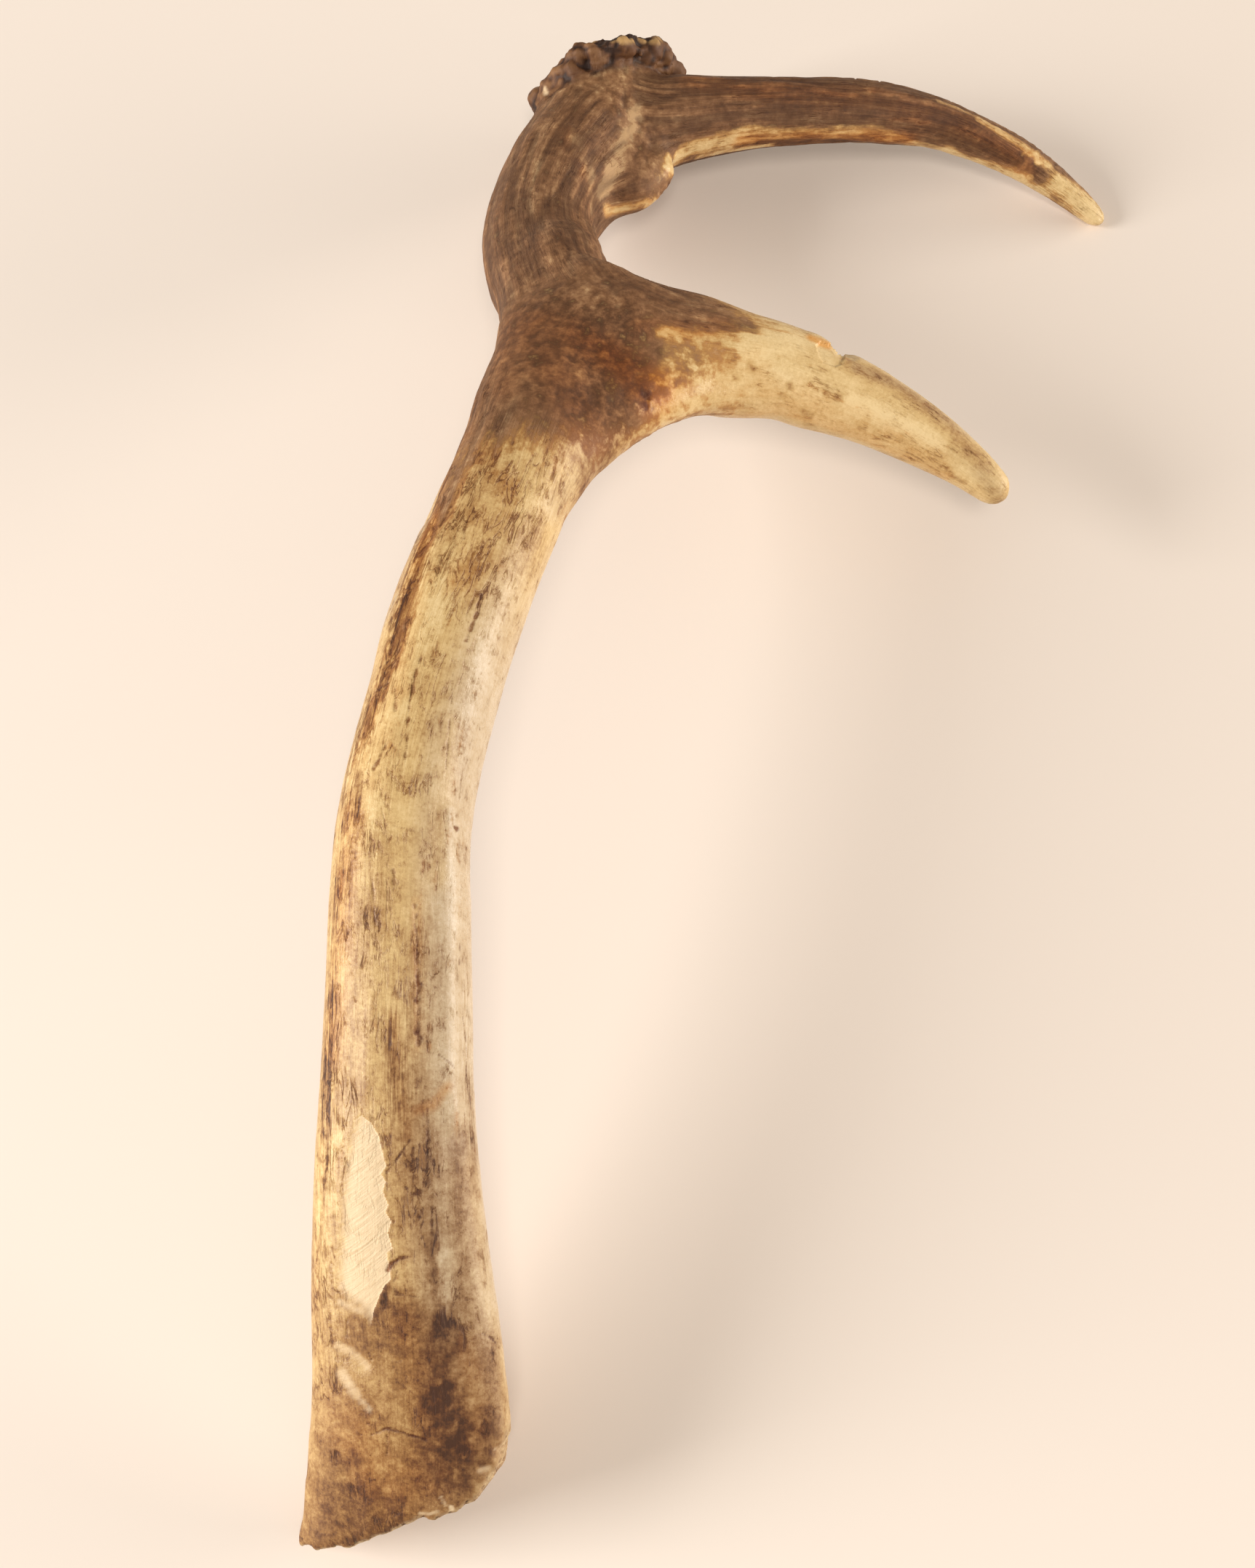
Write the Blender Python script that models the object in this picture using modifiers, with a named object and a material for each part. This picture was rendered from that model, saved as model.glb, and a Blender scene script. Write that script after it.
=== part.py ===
"""A cast fallow deer antler with its beam broken off where the palm began, lying as it rests on a table:
on the lower edge of its burr, on the tip of its brow tine and on one corner of the broken end, with the
beam arched between them. Run it with blender --background --python part.py, or from Blender's text editor.

+Z is up and the table is z = 0. +Y runs from the broken end towards the burr, and +X is the side that the
tines are on. The origin is on the table, under the middle of the whole antler.

The antler grew as one bone. Its branches are lofted through stations, fused, thinned to facets, chipped and
broken, and then sawn apart at the forks, with one thin kerf for each."""

from math import cos, pi, radians, sin, tau
from random import Random

import bmesh
import bpy
from mathutils import Matrix, Vector, noise

MM = 0.001

# Driving dimensions, in millimetres.
BEAM_WIDTH = 30.0  # across the beam at the middle of its arch
BROW_TINE_WIDTH = 19.0  # across the brow tine, a third of the way along
MIDDLE_TINE_WIDTH = 26.0  # across the middle tine, just out of its fork
BURR_WIDTH = 42.0  # across the burr's shelf, without its pearls
SEAL_WIDTH = 33.0  # across the shed face, inside the pearls
KERF = 0.3  # the gap that parts the pieces at the forks

TRIANGLES = 8000  # of the whole antler, before it is chipped and sawn
VOXEL = 1.3  # the grain at which the branches fuse, in millimetres
STATION_STEP = 2.5  # between the rings of a loft, in millimetres
RING_SIDES = 48
TIP_TURNS = (0.12, 0.24, 0.36, 0.46)  # of a half turn, for the rings of a rounded tip

# Where each branch runs, from its free end to its root or the other way. A station is x, y and z of the axis
# in millimetres, the half width and half thickness as shares of the branch's driving width, and the roll in
# degrees. Width is measured level, across the branch, and the roll tips it.
BEAM = (
    (-79.6, -238.0, -7.5, 0.99, 0.22, 14.0),
    (-80.7, -216.0, 4.2, 0.92, 0.25, 14.0),
    (-81.0, -196.5, 15.7, 0.81, 0.31, 13.0),
    (-81.4, -178.8, 25.0, 0.735, 0.37, 12.0),
    (-83.2, -150.3, 38.7, 0.65, 0.42, 10.0),
    (-83.9, -121.5, 51.0, 0.567, 0.455, 8.0),
    (-83.7, -91.8, 61.5, 0.53, 0.465, 6.0),
    (-82.6, -59.9, 68.5, 0.495, 0.47, 4.0),
    (-75.5, -24.1, 71.0, 0.49, 0.47, 0.0),
    (-64.3, 16.4, 68.5, 0.505, 0.47, -4.0),
    (-55.5, 50.0, 62.5, 0.53, 0.47, -8.0),
    (-51.5, 73.0, 55.5, 0.54, 0.49, -8.0),
    (-55.0, 100.0, 45.5, 0.53, 0.50, -6.0),
    (-58.1, 127.2, 36.5, 0.50, 0.51, -4.0),
    (-52.8, 153.0, 29.5, 0.575, 0.55, 0.0),
    (-44.0, 172.0, 25.2, 0.60, 0.60, 0.0),
    (-40.8, 184.0, 24.3, 0.58, 0.60, 0.0),
)
BROW_TINE = (
    (-41.0, 173.0, 24.5, 0.84, 0.74, 0.0),
    (-26.0, 176.5, 27.0, 0.72, 0.66, 0.0),
    (-4.0, 180.0, 27.0, 0.56, 0.53, 0.0),
    (17.2, 181.1, 26.5, 0.49, 0.47, 0.0),
    (38.5, 182.0, 24.5, 0.435, 0.43, 0.0),
    (60.0, 181.6, 19.6, 0.37, 0.37, 0.0),
    (81.9, 175.2, 12.2, 0.30, 0.30, 0.0),
    (96.2, 168.6, 6.0, 0.225, 0.225, 0.0),
    (102.3, 164.8, 3.4, 0.165, 0.165, 0.0),
    (105.0, 163.0, 2.3, 0.12, 0.12, 0.0),
)
MIDDLE_TINE = (
    (-55.0, 66.0, 60.0, 0.60, 0.42, -10.0),
    (-39.9, 72.0, 59.0, 0.93, 0.44, -10.0),
    (-30.5, 72.6, 56.5, 0.75, 0.44, -10.0),
    (-19.3, 73.6, 54.0, 0.64, 0.42, -8.0),
    (-6.0, 73.1, 51.5, 0.57, 0.40, -6.0),
    (8.0, 71.8, 48.5, 0.51, 0.38, -4.0),
    (24.0, 67.1, 44.5, 0.42, 0.34, 0.0),
    (40.0, 60.8, 39.5, 0.335, 0.30, 0.0),
    (53.5, 53.5, 35.0, 0.24, 0.24, 0.0),
    (60.5, 48.4, 32.6, 0.18, 0.18, 0.0),
)
# The web of bone in the angle of the middle fork, and the ledge under the brow tine; their shares are of the
# beam's width.
WEB = (
    (-62.0, 20.0, 67.0, 0.38, 0.36, 0.0),
    (-56.0, 36.0, 64.5, 0.44, 0.38, 0.0),
    (-49.0, 48.5, 62.0, 0.49, 0.38, 0.0),
    (-27.0, 62.5, 57.0, 0.40, 0.34, 0.0),
    (-14.0, 66.0, 53.5, 0.33, 0.28, 0.0),
)
LEDGE = (
    (-50.0, 158.0, 28.5, 0.44, 0.36, 0.0),
    (-36.5, 156.0, 28.5, 0.42, 0.30, 0.0),
    (-30.0, 155.8, 29.0, 0.36, 0.25, 0.0),
    (-26.4, 156.8, 29.5, 0.24, 0.17, 0.0),
)

# The burr stands on its edge: its middle, and the way the shed face looks.
BURR_AT = Vector((-40.6, 188.9, 23.6))
BURR_FACING = Vector((-0.371, 0.928, 0.0)).normalized()
BURR_THICKNESS = 7.0
BURR_BACK = 0.84  # the width of the shelf's back edge, as a share of its front edge's
SEAL_RISE = 3.5  # of the shed face over the front of the burr
SEAL_FLAT = 2.6  # how high the shed face is worn flat
SEAL_BLOCK = (40.0, 40.0, 20.0)  # what is worn off above that
PEARLS = 30
PEARL_SIZES = (2.4, 3.7)
PEARL_STRAY = 0.3  # round the burr, as a share of the gap from pearl to pearl
PEARL_OUT = (-1.3, 0.2)  # of a pearl's middle past the shelf's edge
PEARL_ALONG = (-2.2, 1.8)  # of a pearl's middle from the middle of the shelf's thickness
PEARL_FLATNESS = 0.9
PEARL_SEED = 91

# Ridges and grooves along the grain: how far they rise at the burr and on the smooth upper beam.
RIDGE_AT_BURR = 1.9
RIDGE_ON_BEAM = 0.4
RIDGE_FADE = (60.0, 190.0)  # from the polished part to the burr, along y
RIDGES_ROUND = 3.4
RIDGE_LENGTH = 70.0
RIDGE_CREST = 0.5  # how far a crest stands out, as a share of the rise
GROOVE_CUT = 2.4  # how sharply the grooves cut between the crests

# The broken end, in the plane of its widening: u goes across towards +X and w up the beam.
BREAK_AT = Vector((-82.6, -196.5, 15.0))
BREAK_AXIS = Vector((-0.063, 0.882, 0.467)).normalized()
BREAK_ROLL = 12.0
BREAK_RIM = (
    (-32.0, -16.0), (-26.0, -15.0), (-22.5, -13.2), (-19.6, -13.8), (-15.0, -12.0), (-11.0, -12.0),
    (-5.2, -8.8), (-2.4, -8.4), (1.5, -5.8), (3.8, -5.2), (6.0, -3.8), (8.6, -4.8), (11.1, -3.2),
    (13.0, -3.8), (15.4, -1.2), (18.0, -0.7), (20.2, 2.8), (22.2, 4.4), (22.9, 8.6), (24.0, 11.6),
    (25.0, 17.0), (32.0, 18.5),
)
BREAK_REACH = 70.0  # how far past the rim all is gone
BREAK_MARGIN = 20.0  # how much wider than the rim
BREAK_DEPTH = 80.0
CORE_HOLLOW = (17.5, 5.5, 5.4)  # half sizes of the weathered spongy core
CORE_SKEW = 31.0  # degrees, as the rim runs across the beam
CORE_AT = (2.0, -7.5)
CORE_LUMPS = 0.35  # the height of the lumps in the hollow, as a share of its half sizes
CORE_GRAIN = 2.2  # how closely they follow each other

# The chip on the far edge of the middle tine. It turns with the edge and leans back over it.
CHIP_AT = Vector((26.4, 80.9, 51.8))
CHIP_SIZE = (14.0, 8.0, 18.0)
CHIP_TURN = -6.0
CHIP_LEAN = 25.5

# The forks: where each web is widest, and how far round it the bone is smoothed.
FORKS = ((Vector((-36.0, 70.0, 58.0)), 38.0), (Vector((-26.0, 165.0, 27.0)), 22.0))
FORK_ROUNDS = 5
FORK_SHRINK = 0.12  # of the reach, from each round to the next
FORK_PASSES = 6  # of smoothing in each round

# Each kerf: a point, the way across it, and its radius. Each piece is known by a point near its middle.
KERFS = (
    (Vector((-66.5, 22.0, 67.5)), Vector((-0.30, -0.95, 0.06)), 26.0),
    (Vector((-18.0, 72.5, 53.7)), Vector((0.975, 0.05, -0.21)), 25.0),
    (Vector((-15.0, 179.5, 27.5)), Vector((0.99, 0.10, 0.0)), 20.0),
)
KERF_SIDES = 32
PIECES = {
    "lower_beam": (Vector((-53.0, 120.0, 38.0)), (0.19, 0.11, 0.06), 0.62),
    "brow_tine": (Vector((45.0, 180.0, 22.0)), (0.30, 0.17, 0.08), 0.50),
    "middle_tine": (Vector((20.0, 66.0, 45.0)), (0.52, 0.38, 0.20), 0.45),
    "upper_beam": (Vector((-80.0, -90.0, 60.0)), (0.58, 0.47, 0.29), 0.40),
}


def clear_scene():
    for old in list(bpy.data.objects):
        bpy.data.objects.remove(old, do_unlink=True)


def new_collection(name):
    collection = bpy.data.collections.new(name)
    bpy.context.scene.collection.children.link(collection)
    return collection


def catmull(p0, p1, p2, p3, t):
    """One number of a smooth line that passes through p1 at t = 0 and p2 at t = 1."""
    return 0.5 * (2 * p1 + (p2 - p0) * t + (2 * p0 - 5 * p1 + 4 * p2 - p3) * t ** 2
                  + (3 * p1 - p0 - 3 * p2 + p3) * t ** 3)


def smooth_rows(stations):
    """Rows like the stations, a STATION_STEP apart, on a smooth line through them."""
    ends = [tuple(2 * a - b for a, b in zip(stations[0], stations[1])),
            tuple(2 * a - b for a, b in zip(stations[-1], stations[-2]))]
    padded = [ends[0], *stations, ends[1]]
    rows = []
    for i in range(1, len(padded) - 2):
        span = (Vector(padded[i + 1][:3]) - Vector(padded[i][:3])).length
        count = max(1, round(span / STATION_STEP))
        for k in range(count):
            rows.append([catmull(*column, k / count) for column in zip(*padded[i - 1:i + 3])])
    rows.append(list(stations[-1]))
    return rows


def round_tip(rows, width):
    """Ends the branch in a dome past its last row."""
    end, before = Vector(rows[-1][:3]), Vector(rows[-2][:3])
    run = (end - before).normalized()
    half, thick, roll = rows[-1][3:]
    for turn in TIP_TURNS:
        middle = end + run * half * width * sin(pi * turn)
        rows.append([*middle, half * cos(pi * turn), thick * cos(pi * turn), roll])


def ridge(angle, at):
    """How far the bone stands out at this angle round the branch, in millimetres."""
    low, high = RIDGE_FADE
    share = min(1.0, max(0.0, (at.y - low) / (high - low)))
    rise = RIDGE_ON_BEAM + (RIDGE_AT_BURR - RIDGE_ON_BEAM) * share
    along = (at.x + at.y) / RIDGE_LENGTH
    grain = noise.noise(Vector((RIDGES_ROUND * cos(angle), RIDGES_ROUND * sin(angle), along)))
    return rise * (RIDGE_CREST - GROOVE_CUT * abs(grain))


def loft(bm, stations, width):
    """A closed branch through the stations."""
    rows = smooth_rows(stations)
    round_tip(rows, width)
    centres = [Vector(row[:3]) for row in rows]
    last = len(rows) - 1
    loops = []
    for i, row in enumerate(rows):
        run = (centres[min(i + 1, last)] - centres[max(i - 1, 0)]).normalized()
        across = run.cross(Vector((0, 0, 1))).normalized()
        over = across.cross(run)
        turn = radians(row[5])
        side = across * cos(turn) + over * sin(turn)
        top = over * cos(turn) - across * sin(turn)
        ring = bmesh.ops.create_circle(bm, segments=RING_SIDES, radius=1.0)["verts"]
        for k, vert in enumerate(ring):
            angle = tau * k / RING_SIDES
            out = side * cos(angle) * row[3] * width + top * sin(angle) * row[4] * width
            vert.co = (centres[i] + out + out.normalized() * ridge(angle, centres[i])) * MM
        loops.append(list({edge for vert in ring for edge in vert.link_edges}))
        if i in (0, last):
            bmesh.ops.contextual_create(bm, geom=ring)
    for loop, following in zip(loops, loops[1:]):
        bmesh.ops.bridge_loops(bm, edges=loop + following)


def burr_frame():
    """The burr's own frame: x and y in its plane, z out of the shed face."""
    turn = BURR_FACING.to_track_quat("Z", "Y").to_matrix().to_4x4()
    return Matrix.Translation(BURR_AT * MM) @ turn


def add_burr(bm):
    """The shelf round the base, its ring of pearls, and the low dome of the shed face."""
    frame = burr_frame()
    bmesh.ops.create_cone(bm, cap_ends=True, segments=RING_SIDES, depth=BURR_THICKNESS * MM,
                          radius1=BURR_BACK * BURR_WIDTH / 2 * MM, radius2=BURR_WIDTH / 2 * MM, matrix=frame)
    dome = Matrix.Translation((0, 0, BURR_THICKNESS / 2 * MM)) @ Matrix.Diagonal(
        (SEAL_WIDTH / 2 * MM, SEAL_WIDTH / 2 * MM, SEAL_RISE * MM, 1))
    bmesh.ops.create_uvsphere(bm, u_segments=RING_SIDES, v_segments=16, radius=1.0, matrix=frame @ dome)
    chance = Random(PEARL_SEED)
    for k in range(PEARLS):
        angle = tau * (k + chance.uniform(-PEARL_STRAY, PEARL_STRAY)) / PEARLS
        size = chance.uniform(*PEARL_SIZES)
        out = BURR_WIDTH / 2 + chance.uniform(*PEARL_OUT)
        along = chance.uniform(*PEARL_ALONG)
        place = Matrix.Translation(Vector((out * cos(angle), out * sin(angle), along)) * MM)
        shape = Matrix.Diagonal((size * MM, size * MM, PEARL_FLATNESS * size * MM, 1))
        bmesh.ops.create_icosphere(bm, subdivisions=2, radius=1.0,
                                   matrix=frame @ place @ Matrix.Rotation(angle, 4, "Z") @ shape)


def object_from(bm, name, collection):
    mesh = bpy.data.meshes.new(name)
    bm.to_mesh(mesh)
    bm.free()
    thing = bpy.data.objects.new(name, mesh)
    collection.objects.link(thing)
    return thing


def bake(thing):
    """Turns the object's modifiers into its mesh."""
    mesh = bpy.data.meshes.new_from_object(thing.evaluated_get(bpy.context.evaluated_depsgraph_get()))
    thing.modifiers.clear()
    thing.data = mesh


def smooth_forks(thing):
    """Fills the angles at the forks as bone does, most of all at the middle of each web."""
    bm = bmesh.new()
    bm.from_mesh(thing.data)
    for middle, reach in FORKS:
        for turn in range(FORK_ROUNDS):
            near = reach * (1 - FORK_SHRINK * turn) * MM
            verts = [v for v in bm.verts if (v.co - middle * MM).length < near]
            for _ in range(FORK_PASSES):
                bmesh.ops.smooth_vert(bm, verts=verts, factor=0.5, use_axis_x=True, use_axis_y=True,
                                      use_axis_z=True)
    bm.to_mesh(thing.data)
    bm.free()


def cutter_look(thing):
    thing.hide_render = True
    thing.display_type = "WIRE"


def break_frame():
    """The broken end's frame: x across, y up the beam, z out of its upper face."""
    axis = BREAK_AXIS
    across = axis.cross(Vector((0, 0, 1))).normalized()
    over = across.cross(axis)
    turn = radians(BREAK_ROLL)
    side = across * cos(turn) + over * sin(turn)
    top = over * cos(turn) - across * sin(turn)
    frame = Matrix((side, axis, top)).transposed().to_4x4()
    return Matrix.Translation(BREAK_AT * MM) @ frame


def break_cutter(collection):
    """Everything past the ragged rim, as a flat outline with a thickness."""
    curve = bpy.data.curves.new("break_cutter", "CURVE")
    curve.dimensions = "2D"
    curve.fill_mode = "BOTH"
    curve.extrude = BREAK_DEPTH / 2 * MM
    left, right = BREAK_RIM[0][0] - BREAK_MARGIN, BREAK_RIM[-1][0] + BREAK_MARGIN
    outline = [*BREAK_RIM, (right, -BREAK_REACH), (left, -BREAK_REACH)]
    spline = curve.splines.new("POLY")
    spline.points.add(len(outline) - 1)
    for point, (u, w) in zip(spline.points, outline):
        point.co = (u * MM, w * MM, 0, 1)
    spline.use_cyclic_u = True
    flat = bpy.data.objects.new("break_outline", curve)
    collection.objects.link(flat)
    flat.matrix_world = break_frame()
    bpy.context.view_layer.update()
    mesh = bpy.data.meshes.new_from_object(flat.evaluated_get(bpy.context.evaluated_depsgraph_get()))
    bm = bmesh.new()
    bm.from_mesh(mesh)
    bm.transform(flat.matrix_world)
    bmesh.ops.remove_doubles(bm, verts=bm.verts, dist=1e-5)
    bmesh.ops.recalc_face_normals(bm, faces=bm.faces)
    bpy.data.objects.remove(flat, do_unlink=True)
    return object_from(bm, "break_cutter", collection)


def core_cutter(collection):
    """The hollow that weather has left in the spongy core, lumpy, inside the hard rim."""
    bm = bmesh.new()
    bmesh.ops.create_icosphere(bm, subdivisions=3, radius=1.0)
    for vert in bm.verts:
        vert.co *= 1 + CORE_LUMPS * noise.noise(vert.co * CORE_GRAIN)
    place = Matrix.Translation((CORE_AT[0] * MM, CORE_AT[1] * MM, 0)) @ Matrix.Rotation(
        radians(CORE_SKEW), 4, "Z") @ Matrix.Diagonal([half * MM for half in CORE_HOLLOW] + [1])
    bm.transform(break_frame() @ place)
    return object_from(bm, "core_cutter", collection)


def block_cutter(name, place, size, collection):
    bm = bmesh.new()
    bmesh.ops.create_cube(bm, size=1.0, matrix=place @ Matrix.Diagonal([side * MM for side in size] + [1]))
    return object_from(bm, name, collection)


def kerf_cutter(number, at, way, radius, collection):
    """A disc as thick as the kerf."""
    bm = bmesh.new()
    place = Matrix.Translation(at * MM) @ way.to_track_quat("Z", "Y").to_matrix().to_4x4()
    bmesh.ops.create_cone(bm, cap_ends=True, segments=KERF_SIDES, radius1=radius * MM,
                          radius2=radius * MM, depth=KERF * MM, matrix=place)
    return object_from(bm, f"kerf_cutter_{number}", collection)


def cut(thing, cutters):
    for cutter in cutters:
        cutter_look(cutter)
        boolean = thing.modifiers.new(cutter.name, "BOOLEAN")
        boolean.operation = "DIFFERENCE"
        boolean.object = cutter
    bake(thing)


def make_antler(parts, cutters):
    bm = bmesh.new()
    loft(bm, BEAM, BEAM_WIDTH)
    loft(bm, BROW_TINE, BROW_TINE_WIDTH)
    loft(bm, MIDDLE_TINE, MIDDLE_TINE_WIDTH)
    loft(bm, WEB, BEAM_WIDTH)
    loft(bm, LEDGE, BEAM_WIDTH)
    add_burr(bm)
    bmesh.ops.recalc_face_normals(bm, faces=bm.faces)
    antler = object_from(bm, "antler", parts)

    fuse = antler.modifiers.new("Fuse", "REMESH")
    fuse.mode = "VOXEL"
    fuse.voxel_size = VOXEL * MM
    bake(antler)
    smooth_forks(antler)

    thin = antler.modifiers.new("Thin", "DECIMATE")
    thin.ratio = TRIANGLES / sum(len(face.vertices) - 2 for face in antler.data.polygons)
    bake(antler)

    chip = (Matrix.Translation(CHIP_AT * MM) @ Matrix.Rotation(radians(CHIP_TURN), 4, "Z")
            @ Matrix.Rotation(radians(CHIP_LEAN), 4, "X"))
    worn = BURR_THICKNESS / 2 + SEAL_FLAT + SEAL_BLOCK[2] / 2
    seal = burr_frame() @ Matrix.Translation((0, 0, worn * MM))
    cut(antler, [
        break_cutter(cutters),
        core_cutter(cutters),
        block_cutter("chip_cutter", chip, CHIP_SIZE, cutters),
        block_cutter("seal_cutter", seal, SEAL_BLOCK, cutters),
    ])
    cut(antler, [kerf_cutter(k, *kerf, cutters) for k, kerf in enumerate(KERFS, 1)])
    return antler


def material(name, colour, roughness):
    finish = bpy.data.materials.new(name)
    finish.use_nodes = True
    shader = finish.node_tree.nodes["Principled BSDF"]
    shader.inputs["Base Color"].default_value = (*colour, 1)
    shader.inputs["Roughness"].default_value = roughness
    shader.inputs["Metallic"].default_value = 0.0
    return finish


def part_pieces(antler):
    """Parts the sawn antler into its pieces, and names each one by where it is."""
    bpy.context.view_layer.objects.active = antler
    antler.select_set(True)
    bpy.ops.object.mode_set(mode="EDIT")
    bpy.ops.mesh.select_all(action="SELECT")
    bpy.ops.mesh.separate(type="LOOSE")
    bpy.ops.object.mode_set(mode="OBJECT")
    pieces = list(bpy.context.selected_objects)
    for name, (inside, colour, roughness) in PIECES.items():
        piece = min(pieces, key=lambda p: min((v.co - inside * MM).length for v in p.data.vertices))
        pieces.remove(piece)
        piece.name = piece.data.name = name
        piece.data.materials.clear()
        piece.data.materials.append(material(f"{name}_bone", colour, roughness))


def stand_on_origin(parts, cutters):
    """Moves all of it so that the origin is on the table, under the middle of the antler."""
    corners = [v.co for piece in parts.objects for v in piece.data.vertices]
    low = Vector(min(c[i] for c in corners) for i in range(3))
    high = Vector(max(c[i] for c in corners) for i in range(3))
    shift = Matrix.Translation((-(low.x + high.x) / 2, -(low.y + high.y) / 2, -low.z))
    for thing in [*parts.objects, *cutters.objects]:
        thing.data.transform(shift)


def main():
    clear_scene()
    parts = new_collection("Deer antler")
    cutters = new_collection("Cutters")
    antler = make_antler(parts, cutters)
    part_pieces(antler)
    stand_on_origin(parts, cutters)


main()
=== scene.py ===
from math import cos, radians, sin, tau
from random import Random

import bmesh
import bpy
import numpy as np
from mathutils import Matrix, Vector, noise
from mathutils.bvhtree import BVHTree


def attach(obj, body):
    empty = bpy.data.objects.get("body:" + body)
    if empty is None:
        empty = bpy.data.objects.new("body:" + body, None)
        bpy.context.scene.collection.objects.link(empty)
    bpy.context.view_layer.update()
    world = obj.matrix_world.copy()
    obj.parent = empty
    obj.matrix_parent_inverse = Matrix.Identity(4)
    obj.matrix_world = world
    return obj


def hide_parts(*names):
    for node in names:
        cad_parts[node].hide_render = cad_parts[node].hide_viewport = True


# A cast fallow antler as it lies on a table, with its four solids grown together into one skin.
# Lengths are in millimetres unless a name says otherwise, and places on the photo are in its pixels.
# x goes towards the tines, y towards the burr and z up, from the frame's origin.

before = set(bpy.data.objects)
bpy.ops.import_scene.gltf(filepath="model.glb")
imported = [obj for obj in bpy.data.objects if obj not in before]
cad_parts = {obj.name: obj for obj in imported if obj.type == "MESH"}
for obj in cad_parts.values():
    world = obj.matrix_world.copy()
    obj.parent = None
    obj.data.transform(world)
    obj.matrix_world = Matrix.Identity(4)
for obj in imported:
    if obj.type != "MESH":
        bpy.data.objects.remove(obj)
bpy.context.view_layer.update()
mm = 0.001
lot = 4000  # how many places are worked on at once

view = {
    'photo': (1725, 2156),
    'lens': 48.0,
    'sensor': 36.0,
    'eye': (-34.5, -249.8, 490.0),
    'down': 64.5,  # degrees below level
}
focal = view['lens'] / view['sensor'] * max(view['photo'])  # in pixels
eyePlace = Vector(view['eye']) * mm
eyeTurn = Matrix.Rotation(radians(90 - view['down']), 3, 'X')


def putIn(name, data):  # a new object in the scene
    thing = bpy.data.objects.new(name, data)
    bpy.context.scene.collection.objects.link(thing)
    return thing


def setCamera():
    camera = bpy.data.cameras.new('camera')
    camera.lens = view['lens']
    camera.sensor_width = view['sensor']
    eye = putIn('camera', camera)
    eye.location = eyePlace
    eye.rotation_euler = eyeTurn.to_euler()
    bpy.context.scene.camera = eye


def inPhoto(places):  # where places in metres show on the photo
    seen = (places - np.array(eyePlace)) @ np.array(eyeTurn)
    width, height = view['photo']
    across = width / 2 - focal * seen[:, 0] / seen[:, 2]
    down = height / 2 + focal * seen[:, 1] / seen[:, 2]
    return np.stack([across, down], 1)


def rayTo(x, y):
    width, height = view['photo']
    return eyeTurn @ Vector(((x - width / 2) / focal, (height / 2 - y) / focal, -1)).normalized()


# The lines that the grain follows: from the burr along the beam, and out along each tine.
lines = {
    'beam': [(-46, 207, 24), (-40.8, 193.9, 24.2), (-41, 189, 24.9), (-44.2, 177, 25.8), (-53, 158, 30.1),
             (-58.3, 132.2, 37.1), (-55.2, 105, 46.1), (-51.7, 78, 56.1), (-55.7, 55, 63.1),
             (-64.5, 21.4, 69.1), (-75.7, -19.1, 71.6), (-82.8, -54.9, 69.1), (-83.9, -86.8, 62.1),
             (-84.1, -116.5, 51.6), (-83.4, -145.3, 39.3), (-81.6, -173.8, 25.6), (-81.2, -191.5, 16.3),
             (-80.9, -211, 4.8), (-80, -233, -7)],
    'middle': [(-46, 207, 24), (-40.8, 193.9, 24.2), (-41, 189, 24.9), (-44.2, 177, 25.8), (-53, 158, 30.1),
               (-58.3, 132.2, 37.1), (-53, 105, 46.1), (-43, 86, 54.5), (-26, 78.5, 55), (-6.2, 78.1, 52.1),
               (7.8, 76.8, 49.1), (23.8, 72.1, 45.1), (39.8, 65.8, 40.1), (53.3, 58.5, 35.6),
               (60.3, 53.4, 33.2), (67, 48, 31)],
    'brow': [(-46, 207, 24), (-40.8, 193.9, 24.2), (-37, 186.5, 25.6), (-26, 182.5, 27.6), (-4.2, 185, 27.6),
             (17, 186.1, 27.1), (38.3, 187, 25.1), (59.8, 186.6, 20.2), (81.7, 180.2, 12.8), (96, 173.6, 6.6),
             (104.8, 168, 2.9), (110, 164, 1)],
}
grainShape = {
    'round': 14.0,  # the radius that the grain is drawn on
    'toMiddle': (-7, 7),  # how much nearer the tine's line is where the grain turns to it
    'toBrow': (-5, 6),
    'apart': (2, 9),  # how far two grains part where they are seen to cross
}


def smoothLine(points, step=1.0):
    rows = np.array(points, float)
    ends = np.vstack([2 * rows[0] - rows[1], rows, 2 * rows[-1] - rows[-2]])
    made = []
    for a, b, c, d in zip(ends, ends[1:], ends[2:], ends[3:]):
        count = max(2, int(np.linalg.norm(c - b) / step))
        for t in np.arange(count)[:, None] / count:
            made.append(0.5 * (2 * b + (c - a) * t + (2 * a - 5 * b + 4 * c - d) * t ** 2
                               + (3 * b - a - 3 * c + d) * t ** 3))
    return np.vstack(made + [rows[-1]])


def nearestOn(line, places):  # which point of a line each place is nearest to
    return np.concatenate([np.argmin(((part[:, None] - line[None]) ** 2).sum(2), axis=1)
                           for part in np.array_split(places, max(1, len(places) // lot))])


def awayFrom(spot, places):  # in millimetres
    return np.linalg.norm(places / mm - np.array(spot), axis=1)


def alongLine(points, places):  # how far along the line each place is, its angle round it, and how far off
    line = smoothLine(points)
    run = np.gradient(line, axis=0)
    run /= np.linalg.norm(run, axis=1)[:, None]
    length = np.concatenate([[0], np.cumsum(np.linalg.norm(np.diff(line, axis=0), axis=1))])
    side = np.cross(run, (0, 0, 1))
    side /= np.linalg.norm(side, axis=1)[:, None]
    top = np.cross(side, run)
    nearest = nearestOn(line, places)
    off = places - line[nearest]
    far = length[nearest] + (off * run[nearest]).sum(1)
    angle = np.arctan2((off * side[nearest]).sum(1), (off * top[nearest]).sum(1))
    return far, angle, np.linalg.norm(off, axis=1)


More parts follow.
